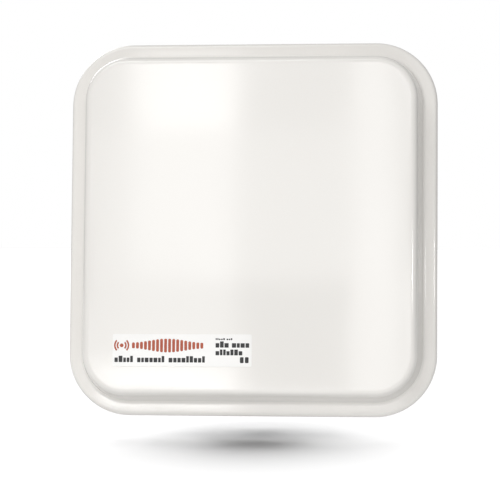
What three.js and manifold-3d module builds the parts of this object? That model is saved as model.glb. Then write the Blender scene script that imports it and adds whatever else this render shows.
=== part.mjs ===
// A flat panel antenna for the UHF band, with the tilting bracket that carries it on a mast.
//
// Units are millimetres, +Z is up. The origin is on the mast's axis, midway between the two U-bolts.
// The radome faces -Y, and +X is on the right of a person who looks at the radome.
// Panel pieces are placed by their depth: depth 0 is the rear edge of the radome's skirt,
// a positive depth lies in front of it, and a negative one lies behind it, towards the mast.
import * as THREE from "three";
import { mergeVertices } from "three/addons/utils/BufferGeometryUtils.js";
import Module from "manifold-3d";

const wasm = await Module();
wasm.setup();

// ---- driving dimensions -------------------------------------------------------------------

const FIT = 0.2; // clearance between pieces that touch or pass through each other

// panel envelope
const PANEL_WIDTH = 256;
const PANEL_HEIGHT = 260;
const CORNER_RADIUS = 43;
const PANEL_DEPTH = 33.5;
const SHELL = 3;
const CORNER_STEPS = 6;

// radome section, from the outside edge inwards
const EDGE_RADIUS = 3;
const FLANGE_DEPTH = 10;
const ROOT_INSET = 7.8; // to the centre of the fillet between the flange and the raised wall
const ROOT_RADIUS = 2.5;
const WALL_DRAFT = 12;
const SHOULDER_RADIUS = 5;

// rear plate, seal and the screws that close the panel
const PLATE_INSET = SHELL + 0.4;
const PLATE_REAR = 1;
const PLATE_THICK = 2;
const SEAL_WIDTH = 5;
const POST_RADIUS = 4.5;
const POST_CORNER = [96, 98];
const POST_SIDE = [107, 109];
const PILOT_RADIUS = 1.6;
const PILOT_DEEP = 12;
const COVER_SCREW = { radius: 1.25, long: 11, head: 3.2, tall: 2.2 };
const HOLE_ROOM = 0.4; // how much wider a drilled hole is than the screw or stud in it

// radiating patch and its supports
const PATCH_SIDE = 150;
const PATCH_TRIM = 24;
const PATCH_THICK = 1;
const PATCH_DEPTH = 15;
const STANDOFF_AT = 56;
const STANDOFF = { body: 4, neck: 2.2, head: 3.2, tip: 2.6 };
const POST_STUB = 2;
const CENTRE_SCREW = { radius: 1.5, long: 5, head: 3, tall: 2.4 };
const FEED_POINT = [0, -46];
const FEED_WIDTH = 6;
const FEED_THICK = 0.8;
const FEED_DEPTH = 6;
const PROBE = { stub: 1.3, body: 2.4, tip: 1.5 };

// coaxial socket, a four-hole flange type
const SOCKET_AT = [-70, -88];
const SOCKET_FLANGE = 25.4;
const SOCKET_FLANGE_THICK = 2.8;
const SOCKET_SEAL_THICK = 0.8;
const SOCKET_SCREW_SPACING = 18.3;
const SOCKET_SCREW = { radius: 1.5, long: 9, head: 2.8, tall: 2 };
const SOCKET_THREAD_RADIUS = 7.9;
const SOCKET_LONG = 18;
const SOCKET_BORE = 4.2;
const SOCKET_BORE_DEEP = 10;
const SOCKET_THROAT = 3.5;
const CONTACT_RADIUS = 1.5;
const CONTACT_TIP = 0.9;

// drain and breather plug
const VENT_AT = [62, -100];
const VENT = { stem: 4, cap: 6.5, tall: 3 };

// identification label on the radome
const LABEL_SIZE = [95, 22];
const LABEL_AT = [-45, -85];
const LABEL_THICK = 0.3;
const LABEL_GLUE = 0.05;

// studs that carry the bracket
const STUD_AT = [30, 50];
const STUD_RADIUS = 3;
const STUD_TIP = -11;
const STUD_HEAD = { radius: 4.6, tall: 1.2 };

// mast, bracket plates and their pivot
const MAST_RADIUS = 20;
const PLATE = 3;
const BEND_RADIUS = 5;
const BEND_STEPS = 4;
const PANEL_REAR_Y = -92;
const WEB_REAR_Y = -34;
const PIVOT = { y: -55, z: -25 };
const LOCK_ARM = 38;
const TILT_DOWN = 30;
const TILT_UP = 15;
const PIVOT_BOLT = 4;
const BOLT_HEAD = { radius: 8.2, tall: 4 };
const BOLT_TAIL = 12;
const MAST_EAR_X = 41;
const EAR_GAP = 0.5;
const PANEL_EAR_X = MAST_EAR_X + EAR_GAP + PLATE;
const EAR_RADIUS = 13;
const EAR_LIP = 12;
const SLOT_RIM = 11;
const MAST_WEB_HALF = 45;
const PANEL_WEB_HALF = 65;
const FLANGE_REACH_Y = -8;
const TEETH = 7; // on each side of the V
const TOOTH_BITE = 0.8;
const CUT_MARGIN = 1; // how far a cutting body runs past the faces that it cuts

// U-bolts
const U_ROD = 3;
const U_LEG_X = 29;
const U_HEIGHT = 30;
const U_TIP_Y = -57;

// ---- colours and finishes -----------------------------------------------------------------

const finish = (color, roughness, metalness) =>
  new THREE.MeshStandardMaterial({ color, roughness, metalness });
const WHITE_PLASTIC = finish(0xf1efec, 0.28, 0);
const LABEL_VINYL = finish(0xfafaf8, 0.4, 0);
const SEAL_RUBBER = finish(0x2b2b2c, 0.85, 0);
const NYLON = finish(0xe9e6dc, 0.5, 0);
const PTFE = finish(0xf4f4f2, 0.45, 0);
const VENT_PLASTIC = finish(0x3a3c3e, 0.6, 0);
const MILL_ALUMINIUM = finish(0xc3c6c9, 0.38, 1);
const BRASS = finish(0xc9a45a, 0.3, 1);
const NICKEL = finish(0xc8c6bf, 0.22, 1);
const GALVANISED = finish(0xaeb4b8, 0.48, 1);
const ZINC_STEEL = finish(0xbfc3c6, 0.32, 1);

// ---- geometry helpers ---------------------------------------------------------------------

/** A closed geometry as a solid that can be joined and cut. */
function solid(geometry) {
  const bare = geometry.clone();
  bare.deleteAttribute("normal");
  bare.deleteAttribute("uv");
  const merged = mergeVertices(bare, 1e-4);
  return new wasm.Manifold(
    new wasm.Mesh({
      numProp: 3,
      vertProperties: new Float32Array(merged.attributes.position.array),
      triVerts: new Uint32Array(merged.index.array),
    }),
  );
}

/** A solid as a geometry that a mesh can show. */
function geometryOf(body) {
  const { vertProperties, triVerts } = body.getMesh();
  return new THREE.BufferGeometry()
    .setAttribute("position", new THREE.BufferAttribute(vertProperties, 3))
    .setIndex(new THREE.BufferAttribute(triVerts, 1));
}

/** The first geometry joined to the others in `add`, less those in `cut`. */
function build(first, add = [], cut = []) {
  let body = solid(first);
  for (const g of add) body = body.add(solid(g));
  for (const g of cut) body = body.subtract(solid(g));
  return geometryOf(body);
}

// Exact quarter turns, without the rounding that a rotation leaves.
const turn = (x, y, z) => new THREE.Matrix4().makeBasis(x, y, z);
const X = new THREE.Vector3(1, 0, 0);
const Y = new THREE.Vector3(0, 1, 0);
const Z = new THREE.Vector3(0, 0, 1);
const FACE_FRONT = turn(X, Z, Y.clone().negate()); // (x, height, depth) to the part's frame
const FACE_RIGHT = turn(Y, Z, X); // (y, z, out along x) to the part's frame
const HALF_TURN = turn(X, Y.clone().negate(), Z.clone().negate()); // +Y to -Y, about X

/** The outline of the panel at an inset from its edge: straight sides and four round corners. */
function outline(inset) {
  const radius = CORNER_RADIUS - inset;
  const points = [];
  for (const [sx, sy, start] of [[1, 1, 0], [-1, 1, 1], [-1, -1, 2], [1, -1, 3]]) {
    const x = sx * (PANEL_WIDTH / 2 - CORNER_RADIUS);
    const y = sy * (PANEL_HEIGHT / 2 - CORNER_RADIUS);
    for (let i = 0; i <= CORNER_STEPS; i++) {
      const angle = (start + i / CORNER_STEPS) * (Math.PI / 2);
      points.push(new THREE.Vector2(x + radius * Math.cos(angle), y + radius * Math.sin(angle)));
    }
  }
  return points;
}

/** A skin over [inset, depth] steps. Its two ends are capped, or joined where `ring` is true. */
function loft(steps, ring = false) {
  const positions = [];
  for (const [inset, depth] of steps)
    for (const p of outline(inset)) positions.push(p.x, p.y, depth);
  const n = outline(0).length;
  const index = [];
  for (let i = 0; i < steps.length - (ring ? 0 : 1); i++) {
    const a = i * n;
    const b = ((i + 1) % steps.length) * n;
    for (let j = 0; j < n; j++) {
      const k = (j + 1) % n;
      index.push(a + j, b + j, b + k, a + j, b + k, a + k);
    }
  }
  if (!ring) {
    const first = positions.length / 3;
    const last = (steps.length - 1) * n;
    positions.push(0, 0, steps[0][1], 0, 0, steps.at(-1)[1]);
    for (let j = 0; j < n; j++) {
      const k = (j + 1) % n;
      index.push(first, j, k, first + 1, last + k, last + j);
    }
  }
  const made = new THREE.BufferGeometry();
  made.setAttribute("position", new THREE.Float32BufferAttribute(positions, 3));
  made.setIndex(index);
  return made.applyMatrix4(FACE_FRONT);
}

/** A circular hole for a shape. */
const hole = (x, y, radius) => new THREE.Path().absarc(x, y, radius, 0, 2 * Math.PI, true);

/** A shape with holes, as a slab from one level to another along the shape's normal. */
function slab(shape, from, to, holes = [], segments = 4) {
  shape.holes.push(...holes);
  const options = { depth: to - from, bevelEnabled: false, curveSegments: segments };
  return new THREE.ExtrudeGeometry(shape, options).translate(0, 0, from);
}

/** A body turned from [radius, along] points about the Y axis. */
function turned(points, segments = 16) {
  const profile = points.map(([r, along]) => new THREE.Vector2(r, along));
  return new THREE.LatheGeometry(profile, segments);
}

/** A body turned from [radius, depth] points, with its axis along depth at (x, height). */
const turnedDepth = (points, [x, height], segments = 16) =>
  turned(points, segments).applyMatrix4(HALF_TURN).translate(x, 0, height);

/** A rectangle centred on (x, y). */
function rectangle(x, y, width, height) {
  const [w, h] = [width / 2, height / 2];
  return new THREE.Shape(
    [[-w, -h], [w, -h], [w, h], [-w, h]].map(([dx, dy]) => new THREE.Vector2(x + dx, y + dy)),
  );
}

/** A plain round bar from one depth to another. */
const bar = (radius, from, to, at, segments = 12) =>
  turnedDepth([[0, from], [radius, from], [radius, to], [0, to]], at, segments);

const root = new THREE.Group();
const panel = new THREE.Group();
panel.position.y = PANEL_REAR_Y;
root.add(panel);

/** Adds one named piece to a group. */
function piece(group, name, geometry, material) {
  const mesh = new THREE.Mesh(geometry, material);
  mesh.name = name;
  group.add(mesh);
  return mesh;
}

// ---- radome -------------------------------------------------------------------------------

/** Points on an arc about (inset, depth), from one angle to another, in degrees. */
function arc(inset, depth, radius, from, to, steps) {
  return Array.from({ length: steps + 1 }, (_, i) => {
    const angle = THREE.MathUtils.degToRad(from + ((to - from) * i) / steps);
    return [inset + radius * Math.cos(angle), depth + radius * Math.sin(angle)];
  });
}

/** The shell's side, from the front face back to the skirt's edge, at `skin` below its surface. */
function radomeSide(skin) {
  const draft = THREE.MathUtils.degToRad(WALL_DRAFT);
  const radii = ROOT_RADIUS + SHOULDER_RADIUS;
  const rootDepth = FLANGE_DEPTH + ROOT_RADIUS;
  const shoulderDepth = PANEL_DEPTH - SHOULDER_RADIUS;
  const wall = (shoulderDepth - rootDepth + radii * Math.sin(draft)) / Math.cos(draft);
  const shoulderInset = ROOT_INSET + radii * Math.cos(draft) + wall * Math.sin(draft);
  const brim = skin
    ? [[skin, FLANGE_DEPTH - skin]]
    : arc(EDGE_RADIUS, FLANGE_DEPTH - EDGE_RADIUS, EDGE_RADIUS, 90, 180, 2);
  return [
    ...arc(shoulderInset, shoulderDepth, SHOULDER_RADIUS - skin, 90, 180 - WALL_DRAFT, 3),
    ...arc(ROOT_INSET, rootDepth, ROOT_RADIUS + skin, -WALL_DRAFT, -90, 2),
    ...brim,
    [skin, 0],
  ];
}

const postPlaces = [
  ...[1, -1].flatMap((sx) => [1, -1].map((sz) => [sx * POST_CORNER[0], sz * POST_CORNER[1]])),
  [POST_SIDE[0], 0],
  [-POST_SIDE[0], 0],
  [0, POST_SIDE[1]],
  [0, -POST_SIDE[1]],
];
const plateFront = PLATE_REAR + PLATE_THICK;

function radome() {
  const shell = loft([...radomeSide(0), ...radomeSide(SHELL).reverse()]);
  const foot = plateFront + FIT;
  const posts = postPlaces.map((at) => bar(POST_RADIUS, foot, PANEL_DEPTH - SHELL / 2, at));
  const pilots = postPlaces.map((at) => bar(PILOT_RADIUS, foot - 1, foot + PILOT_DEEP, at, 8));
  return build(shell, posts, pilots);
}
piece(panel, "radome", radome(), WHITE_PLASTIC);

// ---- rear plate, seal and closing screws --------------------------------------------------

const socketScrews = [1, -1].flatMap((sx) =>
  [1, -1].map((sz) => [
    SOCKET_AT[0] + (sx * SOCKET_SCREW_SPACING) / 2,
    SOCKET_AT[1] + (sz * SOCKET_SCREW_SPACING) / 2,
  ]),
);
const fourWays = (x, z) => [[x, z], [-x, z], [-x, -z], [x, -z]];
const studPlaces = fourWays(...STUD_AT);
const standoffPlaces = fourWays(STANDOFF_AT, STANDOFF_AT);

piece(
  panel,
  "back_plate",
  slab(new THREE.Shape(outline(PLATE_INSET)), PLATE_REAR, plateFront, [
    ...postPlaces.map((at) => hole(...at, COVER_SCREW.radius + HOLE_ROOM)),
    ...studPlaces.map((at) => hole(...at, STUD_RADIUS + HOLE_ROOM)),
    ...standoffPlaces.map((at) => hole(...at, STANDOFF.neck + HOLE_ROOM)),
    ...socketScrews.map((at) => hole(...at, SOCKET_SCREW.radius + HOLE_ROOM)),
    hole(...SOCKET_AT, SOCKET_THREAD_RADIUS - 2),
    hole(...VENT_AT, VENT.stem + HOLE_ROOM),
    hole(0, 0, POST_STUB + HOLE_ROOM),
  ]).applyMatrix4(FACE_FRONT),
  MILL_ALUMINIUM,
);

const sealFrom = plateFront + FIT;
const sealTo = FLANGE_DEPTH - SHELL - FIT;
piece(
  panel,
  "perimeter_seal",
  loft(
    [
      [PLATE_INSET + SEAL_WIDTH, sealTo],
      [PLATE_INSET + 0.1, sealTo],
      [PLATE_INSET + 0.1, sealFrom],
      [PLATE_INSET + SEAL_WIDTH, sealFrom],
    ],
    true,
  ),
  SEAL_RUBBER,
);

/** A pan-headed screw with its head behind `rear`, pointing forwards into the panel. */
function panScrew({ radius, long, head, tall }, rear, at) {
  const seat = rear - FIT;
  return turnedDepth(
    [
      [0, seat - tall],
      [head * 0.6, seat - tall],
      [head, seat - tall * 0.45],
      [head, seat],
      [radius, seat],
      [radius, seat + long - 1],
      [0, seat + long],
    ],
    at,
    12,
  );
}
postPlaces.forEach((at, i) =>
  piece(panel, `cover_screw_${i + 1}`, panScrew(COVER_SCREW, PLATE_REAR, at), ZINC_STEEL),
);

piece(
  panel,
  "vent_plug",
  turnedDepth(
    [
      [0, PLATE_REAR - FIT - VENT.tall],
      [VENT.cap - 2, PLATE_REAR - FIT - VENT.tall],
      [VENT.cap, PLATE_REAR - FIT - VENT.tall / 2],
      [VENT.cap, PLATE_REAR - FIT],
      [VENT.stem, PLATE_REAR - FIT],
      [VENT.stem, plateFront + VENT.tall],
      [0, plateFront + VENT.tall],
    ],
    VENT_AT,
  ),
  VENT_PLASTIC,
);

// ---- patch, standoffs and feed ------------------------------------------------------------

const patchFront = PATCH_DEPTH + PATCH_THICK;

/** A square with two opposite corners trimmed, which makes the patch circularly polarised. */
function patchShape() {
  const s = PATCH_SIDE / 2;
  const t = s - PATCH_TRIM;
  return new THREE.Shape(
    [[-s, -s], [t, -s], [s, -t], [s, s], [-t, s], [-s, t]].map((p) => new THREE.Vector2(...p)),
  );
}
piece(
  panel,
  "radiating_patch",
  slab(patchShape(), PATCH_DEPTH, patchFront, [
    ...standoffPlaces.map((at) => hole(...at, STANDOFF.neck + HOLE_ROOM)),
    hole(...FEED_POINT, PROBE.tip + HOLE_ROOM),
    hole(0, 0, CENTRE_SCREW.radius + HOLE_ROOM),
  ]).applyMatrix4(FACE_FRONT),
  MILL_ALUMINIUM,
);

standoffPlaces.forEach((at, i) =>
  piece(
    panel,
    `patch_standoff_${i + 1}`,
    turnedDepth(
      [
        [0, PLATE_REAR - 1.6], // the snapped end shows behind the plate
        [STANDOFF.neck, PLATE_REAR - 1],
        [STANDOFF.neck, plateFront + FIT],
        [STANDOFF.body, plateFront + FIT],
        [STANDOFF.body, PATCH_DEPTH - FIT],
        [STANDOFF.neck, PATCH_DEPTH - FIT],
        [STANDOFF.neck, patchFront + FIT],
        [STANDOFF.head, patchFront + FIT],
        [STANDOFF.neck * 0.6, patchFront + STANDOFF.tip],
        [0, patchFront + STANDOFF.tip],
      ],
      at,
      12,
    ),
    NYLON,
  ),
);

piece(
  panel,
  "centre_post",
  turnedDepth(
    [
      [0, PLATE_REAR],
      [POST_STUB, PLATE_REAR],
      [POST_STUB, plateFront + FIT],
      [STANDOFF.body, plateFront + FIT],
      [STANDOFF.body, PATCH_DEPTH - FIT],
      [CENTRE_SCREW.radius + FIT, PATCH_DEPTH - FIT],
      [CENTRE_SCREW.radius + FIT, PATCH_DEPTH - CENTRE_SCREW.long - 1],
      [0, PATCH_DEPTH - CENTRE_SCREW.long - 1],
    ],
    [0, 0],
  ),
  BRASS,
);
piece(
  panel,
  "centre_screw",
  turnedDepth(
    [
      [0, PATCH_DEPTH - CENTRE_SCREW.long],
      [CENTRE_SCREW.radius, PATCH_DEPTH - CENTRE_SCREW.long],
      [CENTRE_SCREW.radius, patchFront + FIT],
      [CENTRE_SCREW.head, patchFront + FIT],
      [CENTRE_SCREW.head, patchFront + CENTRE_SCREW.tall * 0.6],
      [CENTRE_SCREW.head * 0.6, patchFront + CENTRE_SCREW.tall],
      [0, patchFront + CENTRE_SCREW.tall],
    ],
    [0, 0],
    12,
  ),
  ZINC_STEEL,
);

/** The feed line: a flat strip, level from the socket's pin to a point under the patch. */
function feedStrip() {
  const [x0, z0] = SOCKET_AT;
  const [x1, z1] = FEED_POINT;
  const w = FEED_WIDTH / 2;
  const shape = new THREE.Shape(
    [
      [x0 - w, z0 - w],
      [x1, z0 - w],
      [x1 + w, z0],
      [x1 + w, z1 + w],
      [x1 - w, z1 + w],
      [x1 - w, z0 + w],
      [x0 - w, z0 + w],
    ].map((p) => new THREE.Vector2(...p)),
  );
  const holes = [hole(x0, z0, CONTACT_TIP + HOLE_ROOM), hole(x1, z1, PROBE.stub + HOLE_ROOM)];
  return slab(shape, FEED_DEPTH, FEED_DEPTH + FEED_THICK, holes).applyMatrix4(FACE_FRONT);
}
piece(panel, "feed_strip", feedStrip(), BRASS);
piece(
  panel,
  "feed_probe",
  turnedDepth(
    [
      [0, FEED_DEPTH - 1],
      [PROBE.stub, FEED_DEPTH - 1],
      [PROBE.stub, FEED_DEPTH + FEED_THICK + FIT],
      [PROBE.body, FEED_DEPTH + FEED_THICK + FIT],
      [PROBE.body, PATCH_DEPTH - FIT],
      [PROBE.tip, PATCH_DEPTH - FIT],
      [PROBE.tip, patchFront + 1],
      [0, patchFront + 1],
    ],
    FEED_POINT,
    12,
  ),
  BRASS,
);

// ---- coaxial socket -----------------------------------------------------------------------

const flangeFront = PLATE_REAR - FIT - SOCKET_SEAL_THICK - FIT;
const flangeRear = flangeFront - SOCKET_FLANGE_THICK;
const socketMouth = flangeFront - SOCKET_LONG;

/** The square flange and the threaded barrel, bored right through in two steps. */
function socketBody() {
  const flange = slab(
    rectangle(...SOCKET_AT, SOCKET_FLANGE, SOCKET_FLANGE),
    flangeRear,
    flangeFront,
    socketScrews.map((at) => hole(...at, SOCKET_SCREW.radius + HOLE_ROOM)),
  ).applyMatrix4(FACE_FRONT);
  const barrel = turnedDepth(
    [
      [0, socketMouth],
      [SOCKET_THREAD_RADIUS - 0.8, socketMouth],
      [SOCKET_THREAD_RADIUS, socketMouth + 0.8],
      [SOCKET_THREAD_RADIUS, flangeRear - 1.5],
      [SOCKET_THREAD_RADIUS - 0.7, flangeRear - 1],
      [SOCKET_THREAD_RADIUS - 0.7, flangeFront - 0.5],
      [0, flangeFront - 0.5],
    ],
    SOCKET_AT,
    16,
  );
  const bores = [
    bar(SOCKET_BORE, socketMouth - CUT_MARGIN, socketMouth + SOCKET_BORE_DEEP, SOCKET_AT, 16),
    bar(SOCKET_THROAT, socketMouth, flangeFront + CUT_MARGIN, SOCKET_AT, 16),
  ];
  return build(flange, [barrel], bores);
}
piece(panel, "socket_body", socketBody(), NICKEL);

const insulatorRear = socketMouth + SOCKET_BORE_DEEP + 0.5;
const insulatorFront = plateFront + HOLE_ROOM;
piece(
  panel,
  "socket_insulator",
  turnedDepth(
    [
      [CONTACT_RADIUS + FIT, insulatorRear],
      [SOCKET_THROAT - FIT, insulatorRear],
      [SOCKET_THROAT - FIT, insulatorFront],
      [CONTACT_RADIUS + FIT, insulatorFront],
      [CONTACT_RADIUS + FIT, insulatorRear],
    ],
    SOCKET_AT,
  ),
  PTFE,
);
const contactMouth = socketMouth + SOCKET_BORE_DEEP / 2;
piece(
  panel,
  "socket_contact",
  turnedDepth(
    [
      [0, contactMouth + 3], // a cup that takes the plug's pin
      [CONTACT_TIP, contactMouth + 3],
      [CONTACT_TIP, contactMouth],
      [CONTACT_RADIUS, contactMouth],
      [CONTACT_RADIUS, FEED_DEPTH - FIT],
      [CONTACT_TIP, FEED_DEPTH - FIT],
      [CONTACT_TIP, FEED_DEPTH + 2],
      [0, FEED_DEPTH + 2],
    ],
    SOCKET_AT,
    12,
  ),
  BRASS,
);
piece(
  panel,
  "socket_seal",
  slab(
    rectangle(...SOCKET_AT, SOCKET_FLANGE, SOCKET_FLANGE),
    flangeFront + FIT,
    PLATE_REAR - FIT,
    [
      ...socketScrews.map((at) => hole(...at, SOCKET_SCREW.radius + HOLE_ROOM)),
      hole(...SOCKET_AT, SOCKET_THREAD_RADIUS - 2),
    ],
  ).applyMatrix4(FACE_FRONT),
  SEAL_RUBBER,
);
socketScrews.forEach((at, i) =>
  piece(panel, `socket_screw_${i + 1}`, panScrew(SOCKET_SCREW, flangeRear, at), ZINC_STEEL),
);

// ---- label --------------------------------------------------------------------------------

piece(
  panel,
  "front_label",
  slab(
    rectangle(...LABEL_AT, ...LABEL_SIZE),
    PANEL_DEPTH + LABEL_GLUE,
    PANEL_DEPTH + LABEL_GLUE + LABEL_THICK,
  ).applyMatrix4(FACE_FRONT),
  LABEL_VINYL,
);

// ---- studs and nuts -----------------------------------------------------------------------

/** A hexagon flange nut along +Y from y = 0, for a thread of the given radius. */
function flangeNut(thread) {
  const flats = thread * 1.65;
  const tall = thread * 2;
  const flange = thread * 2.2;
  const across = flats / Math.cos(Math.PI / 6);
  const hexagon = new THREE.CylinderGeometry(across, across, tall, 6).translate(0, tall / 2, 0);
  const slope = [[0, 0], [flange, 0], [flange, tall * 0.15], [flats, tall * 0.4], [0, tall * 0.4]];
  const collar = turned(slope, 12);
  const bore = new THREE.CylinderGeometry(thread + FIT, thread + FIT, tall * 2, 12);
  return build(hexagon, [collar], [bore]);
}
const SMALL_NUT = flangeNut(STUD_RADIUS);
const LARGE_NUT = flangeNut(PIVOT_BOLT);

const panelWebRear = PLATE_REAR - FIT - PLATE; // depth of the bracket's rear face on the panel
studPlaces.forEach((at, i) => {
  const headFrom = plateFront + FIT;
  piece(
    panel,
    `stud_${i + 1}`,
    turnedDepth(
      [
        [0, STUD_TIP],
        [STUD_RADIUS - 0.7, STUD_TIP],
        [STUD_RADIUS, STUD_TIP + 0.7],
        [STUD_RADIUS, headFrom],
        [STUD_HEAD.radius, headFrom],
        [STUD_HEAD.radius, headFrom + STUD_HEAD.tall],
        [0, headFrom + STUD_HEAD.tall],
      ],
      at,
      12,
    ),
    ZINC_STEEL,
  );
  const nut = piece(panel, `stud_nut_${i + 1}`, SMALL_NUT, ZINC_STEEL);
  nut.position.set(at[0], -(panelWebRear - FIT), at[1]);
});

// ---- tilting bracket on the panel ---------------------------------------------------------

/** A bent channel section: a web with two ears, all PLATE thick, for extruding. */
function channel(half, web, tip) {
  const sign = Math.sign(tip - web);
  const inner = half - PLATE;
  const innerWeb = web + sign * PLATE;
  const bend = BEND_RADIUS - PLATE;
  const points = [];
  const corner = (cx, cy, radius, from, to) => {
    points.push(...arcPoints(cx, cy, radius, from, to, BEND_STEPS));
  };
  points.push(new THREE.Vector2(half, tip));
  corner(half - BEND_RADIUS, web + sign * BEND_RADIUS, BEND_RADIUS, 0, -90 * sign);
  corner(-half + BEND_RADIUS, web + sign * BEND_RADIUS, BEND_RADIUS, 180 + 90 * sign, 180);
  points.push(new THREE.Vector2(-half, tip), new THREE.Vector2(-inner, tip));
  corner(-inner + bend, innerWeb + sign * bend, bend, 180, 180 + 90 * sign);
  corner(inner - bend, innerWeb + sign * bend, bend, -90 * sign, 0);
  points.push(new THREE.Vector2(inner, tip));
  return new THREE.Shape(points);
}

/** A point at `radius` from the pivot, `degrees` from straight up towards the mast. */
function aboutPivot(radius, degrees) {
  const angle = THREE.MathUtils.degToRad(degrees);
  const y = PIVOT.y + radius * Math.sin(angle);
  return new THREE.Vector2(y, PIVOT.z + radius * Math.cos(angle));
}

/** Points on an arc about (x, y), in degrees from +x. */
function arcPoints(x, y, radius, from, to, steps = 5) {
  return Array.from({ length: steps + 1 }, (_, i) => {
    const angle = THREE.MathUtils.degToRad(from + ((to - from) * i) / steps);
    return new THREE.Vector2(x + radius * Math.cos(angle), y + radius * Math.sin(angle));
  });
}
/** Points round the pivot at one radius. */
const sweep = (radius, from, to, steps) =>
  Array.from({ length: steps + 1 }, (_, i) =>
    aboutPivot(radius, from + ((to - from) * i) / steps));

/** The curved slot that the lock bolts run in, with round ends. */
function lockSlot() {
  const half = PIVOT_BOLT + EAR_GAP;
  const end = (degrees, start) => {
    const centre = aboutPivot(LOCK_ARM, degrees);
    return arcPoints(centre.x, centre.y, half, start - degrees, start - degrees - 180, 4);
  };
  return new THREE.Shape([
    ...sweep(LOCK_ARM + half, 5 - TILT_UP, TILT_DOWN - 5, 6),
    ...end(TILT_DOWN + 0.6, 90),
    ...sweep(LOCK_ARM - half, TILT_DOWN - 5, 5 - TILT_UP, 6),
    ...end(-TILT_UP - 0.6, 270),
  ]);
}

const panelWebY = PANEL_REAR_Y - (PLATE_REAR - FIT); // the bracket's face against the rear plate

function tiltBracket() {
  const section = slab(channel(PANEL_EAR_X, panelWebY, 0), -PANEL_WEB_HALF, PANEL_WEB_HALF);
  const lipY = panelWebY + EAR_LIP;
  const slotEnd = aboutPivot(LOCK_ARM, TILT_DOWN);
  const side = new THREE.Shape([
    new THREE.Vector2(panelWebY - CUT_MARGIN, -PANEL_WEB_HALF),
    new THREE.Vector2(lipY, -PANEL_WEB_HALF),
    ...arcPoints(PIVOT.y, PIVOT.z, EAR_RADIUS, -135, -30),
    ...arcPoints(slotEnd.x, slotEnd.y, SLOT_RIM, -30, 90 - TILT_DOWN),
    ...sweep(LOCK_ARM + SLOT_RIM, TILT_DOWN - 5, -TILT_UP - 7, 6),
    new THREE.Vector2(lipY, PANEL_WEB_HALF),
    new THREE.Vector2(panelWebY - CUT_MARGIN, PANEL_WEB_HALF),
  ]);
  const across = (shape) =>
    slab(shape, -PANEL_EAR_X - CUT_MARGIN, PANEL_EAR_X + CUT_MARGIN).applyMatrix4(FACE_RIGHT);
  const trimmed = geometryOf(solid(section).intersect(solid(across(side))));
  const pivotRadius = PIVOT_BOLT + HOLE_ROOM;
  const pivotHole = new THREE.Shape().absarc(PIVOT.y, PIVOT.z, pivotRadius, 0, 2 * Math.PI);
  const studHoles = studPlaces.map((at) =>
    bar(STUD_RADIUS + HOLE_ROOM, -2 * PLATE, 2 * PLATE, at).translate(0, panelWebY, 0));
  return build(trimmed, [], [across(pivotHole), across(lockSlot()), ...studHoles]);
}
piece(root, "tilt_bracket", tiltBracket(), GALVANISED);

// ---- mast bracket -------------------------------------------------------------------------

/** The toothed V that bites the mast, as a cut through the bracket's two end flanges. */
function toothedV() {
  const apex = -MAST_RADIUS * Math.SQRT2;
  const reach = FLANGE_REACH_Y - apex;
  const pitch = reach / TEETH;
  const edge = [];
  for (let i = 0; i < TEETH; i++) {
    const valley = (i + 0.5) * pitch;
    edge.push([i * pitch, apex + i * pitch], [valley + TOOTH_BITE, apex + valley - TOOTH_BITE]);
  }
  edge.push([reach, FLANGE_REACH_Y], [reach, FLANGE_REACH_Y + CUT_MARGIN]);
  const mirrored = edge.slice(1).reverse().map(([x, y]) => [-x, y]);
  return new THREE.Shape([...mirrored, ...edge].map((p) => new THREE.Vector2(...p)));
}

const mastWebFront = WEB_REAR_Y - PLATE;

function mastBracket() {
  const across = (shape, half) => slab(shape, -half, half).applyMatrix4(FACE_RIGHT);
  const earTip = PIVOT.y - EAR_RADIUS;
  const ears = slab(channel(MAST_EAR_X, WEB_REAR_Y, earTip), -MAST_WEB_HALF, MAST_WEB_HALF);
  const earSide = new THREE.Shape([
    new THREE.Vector2(WEB_REAR_Y + CUT_MARGIN, -MAST_WEB_HALF + BEND_RADIUS),
    new THREE.Vector2(WEB_REAR_Y + CUT_MARGIN, MAST_WEB_HALF - BEND_RADIUS),
    new THREE.Vector2(mastWebFront - 2, MAST_WEB_HALF - BEND_RADIUS),
    ...arcPoints(PIVOT.y, PIVOT.z + LOCK_ARM, EAR_RADIUS, 70, 180),
    ...arcPoints(PIVOT.y, PIVOT.z, EAR_RADIUS, 180, 290),
    new THREE.Vector2(mastWebFront - 2, -MAST_WEB_HALF + BEND_RADIUS),
  ]);
  const eared = solid(ears).intersect(solid(across(earSide, MAST_EAR_X + CUT_MARGIN)));
  // The end flanges: the same channel laid on its side, with its section in Y and Z.
  const flangeSection = channel(MAST_WEB_HALF, mastWebFront, FLANGE_REACH_Y);
  const flanges = slab(flangeSection, -MAST_EAR_X + BEND_RADIUS, MAST_EAR_X - BEND_RADIUS)
    .applyMatrix4(turn(Z, Y, X.clone().negate()));
  const joined = geometryOf(eared.add(solid(flanges)));
  const notch = slab(toothedV(), -MAST_WEB_HALF - CUT_MARGIN, MAST_WEB_HALF + CUT_MARGIN);
  const legHoles = fourWays(U_LEG_X, U_HEIGHT).map((at) =>
    bar(U_ROD + HOLE_ROOM, -2 * PLATE, 2 * PLATE, at).translate(0, WEB_REAR_Y, 0));
  const neckSide = 2 * (PIVOT_BOLT + FIT);
  const necks = [PIVOT.z, PIVOT.z + LOCK_ARM].map((z) =>
    across(rectangle(PIVOT.y, z, neckSide, neckSide), MAST_EAR_X + CUT_MARGIN));
  return build(joined, [], [notch, ...legHoles, ...necks]);
}

piece(root, "mast_bracket", mastBracket(), GALVANISED);

// ---- pivot and lock bolts -----------------------------------------------------------------

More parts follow.
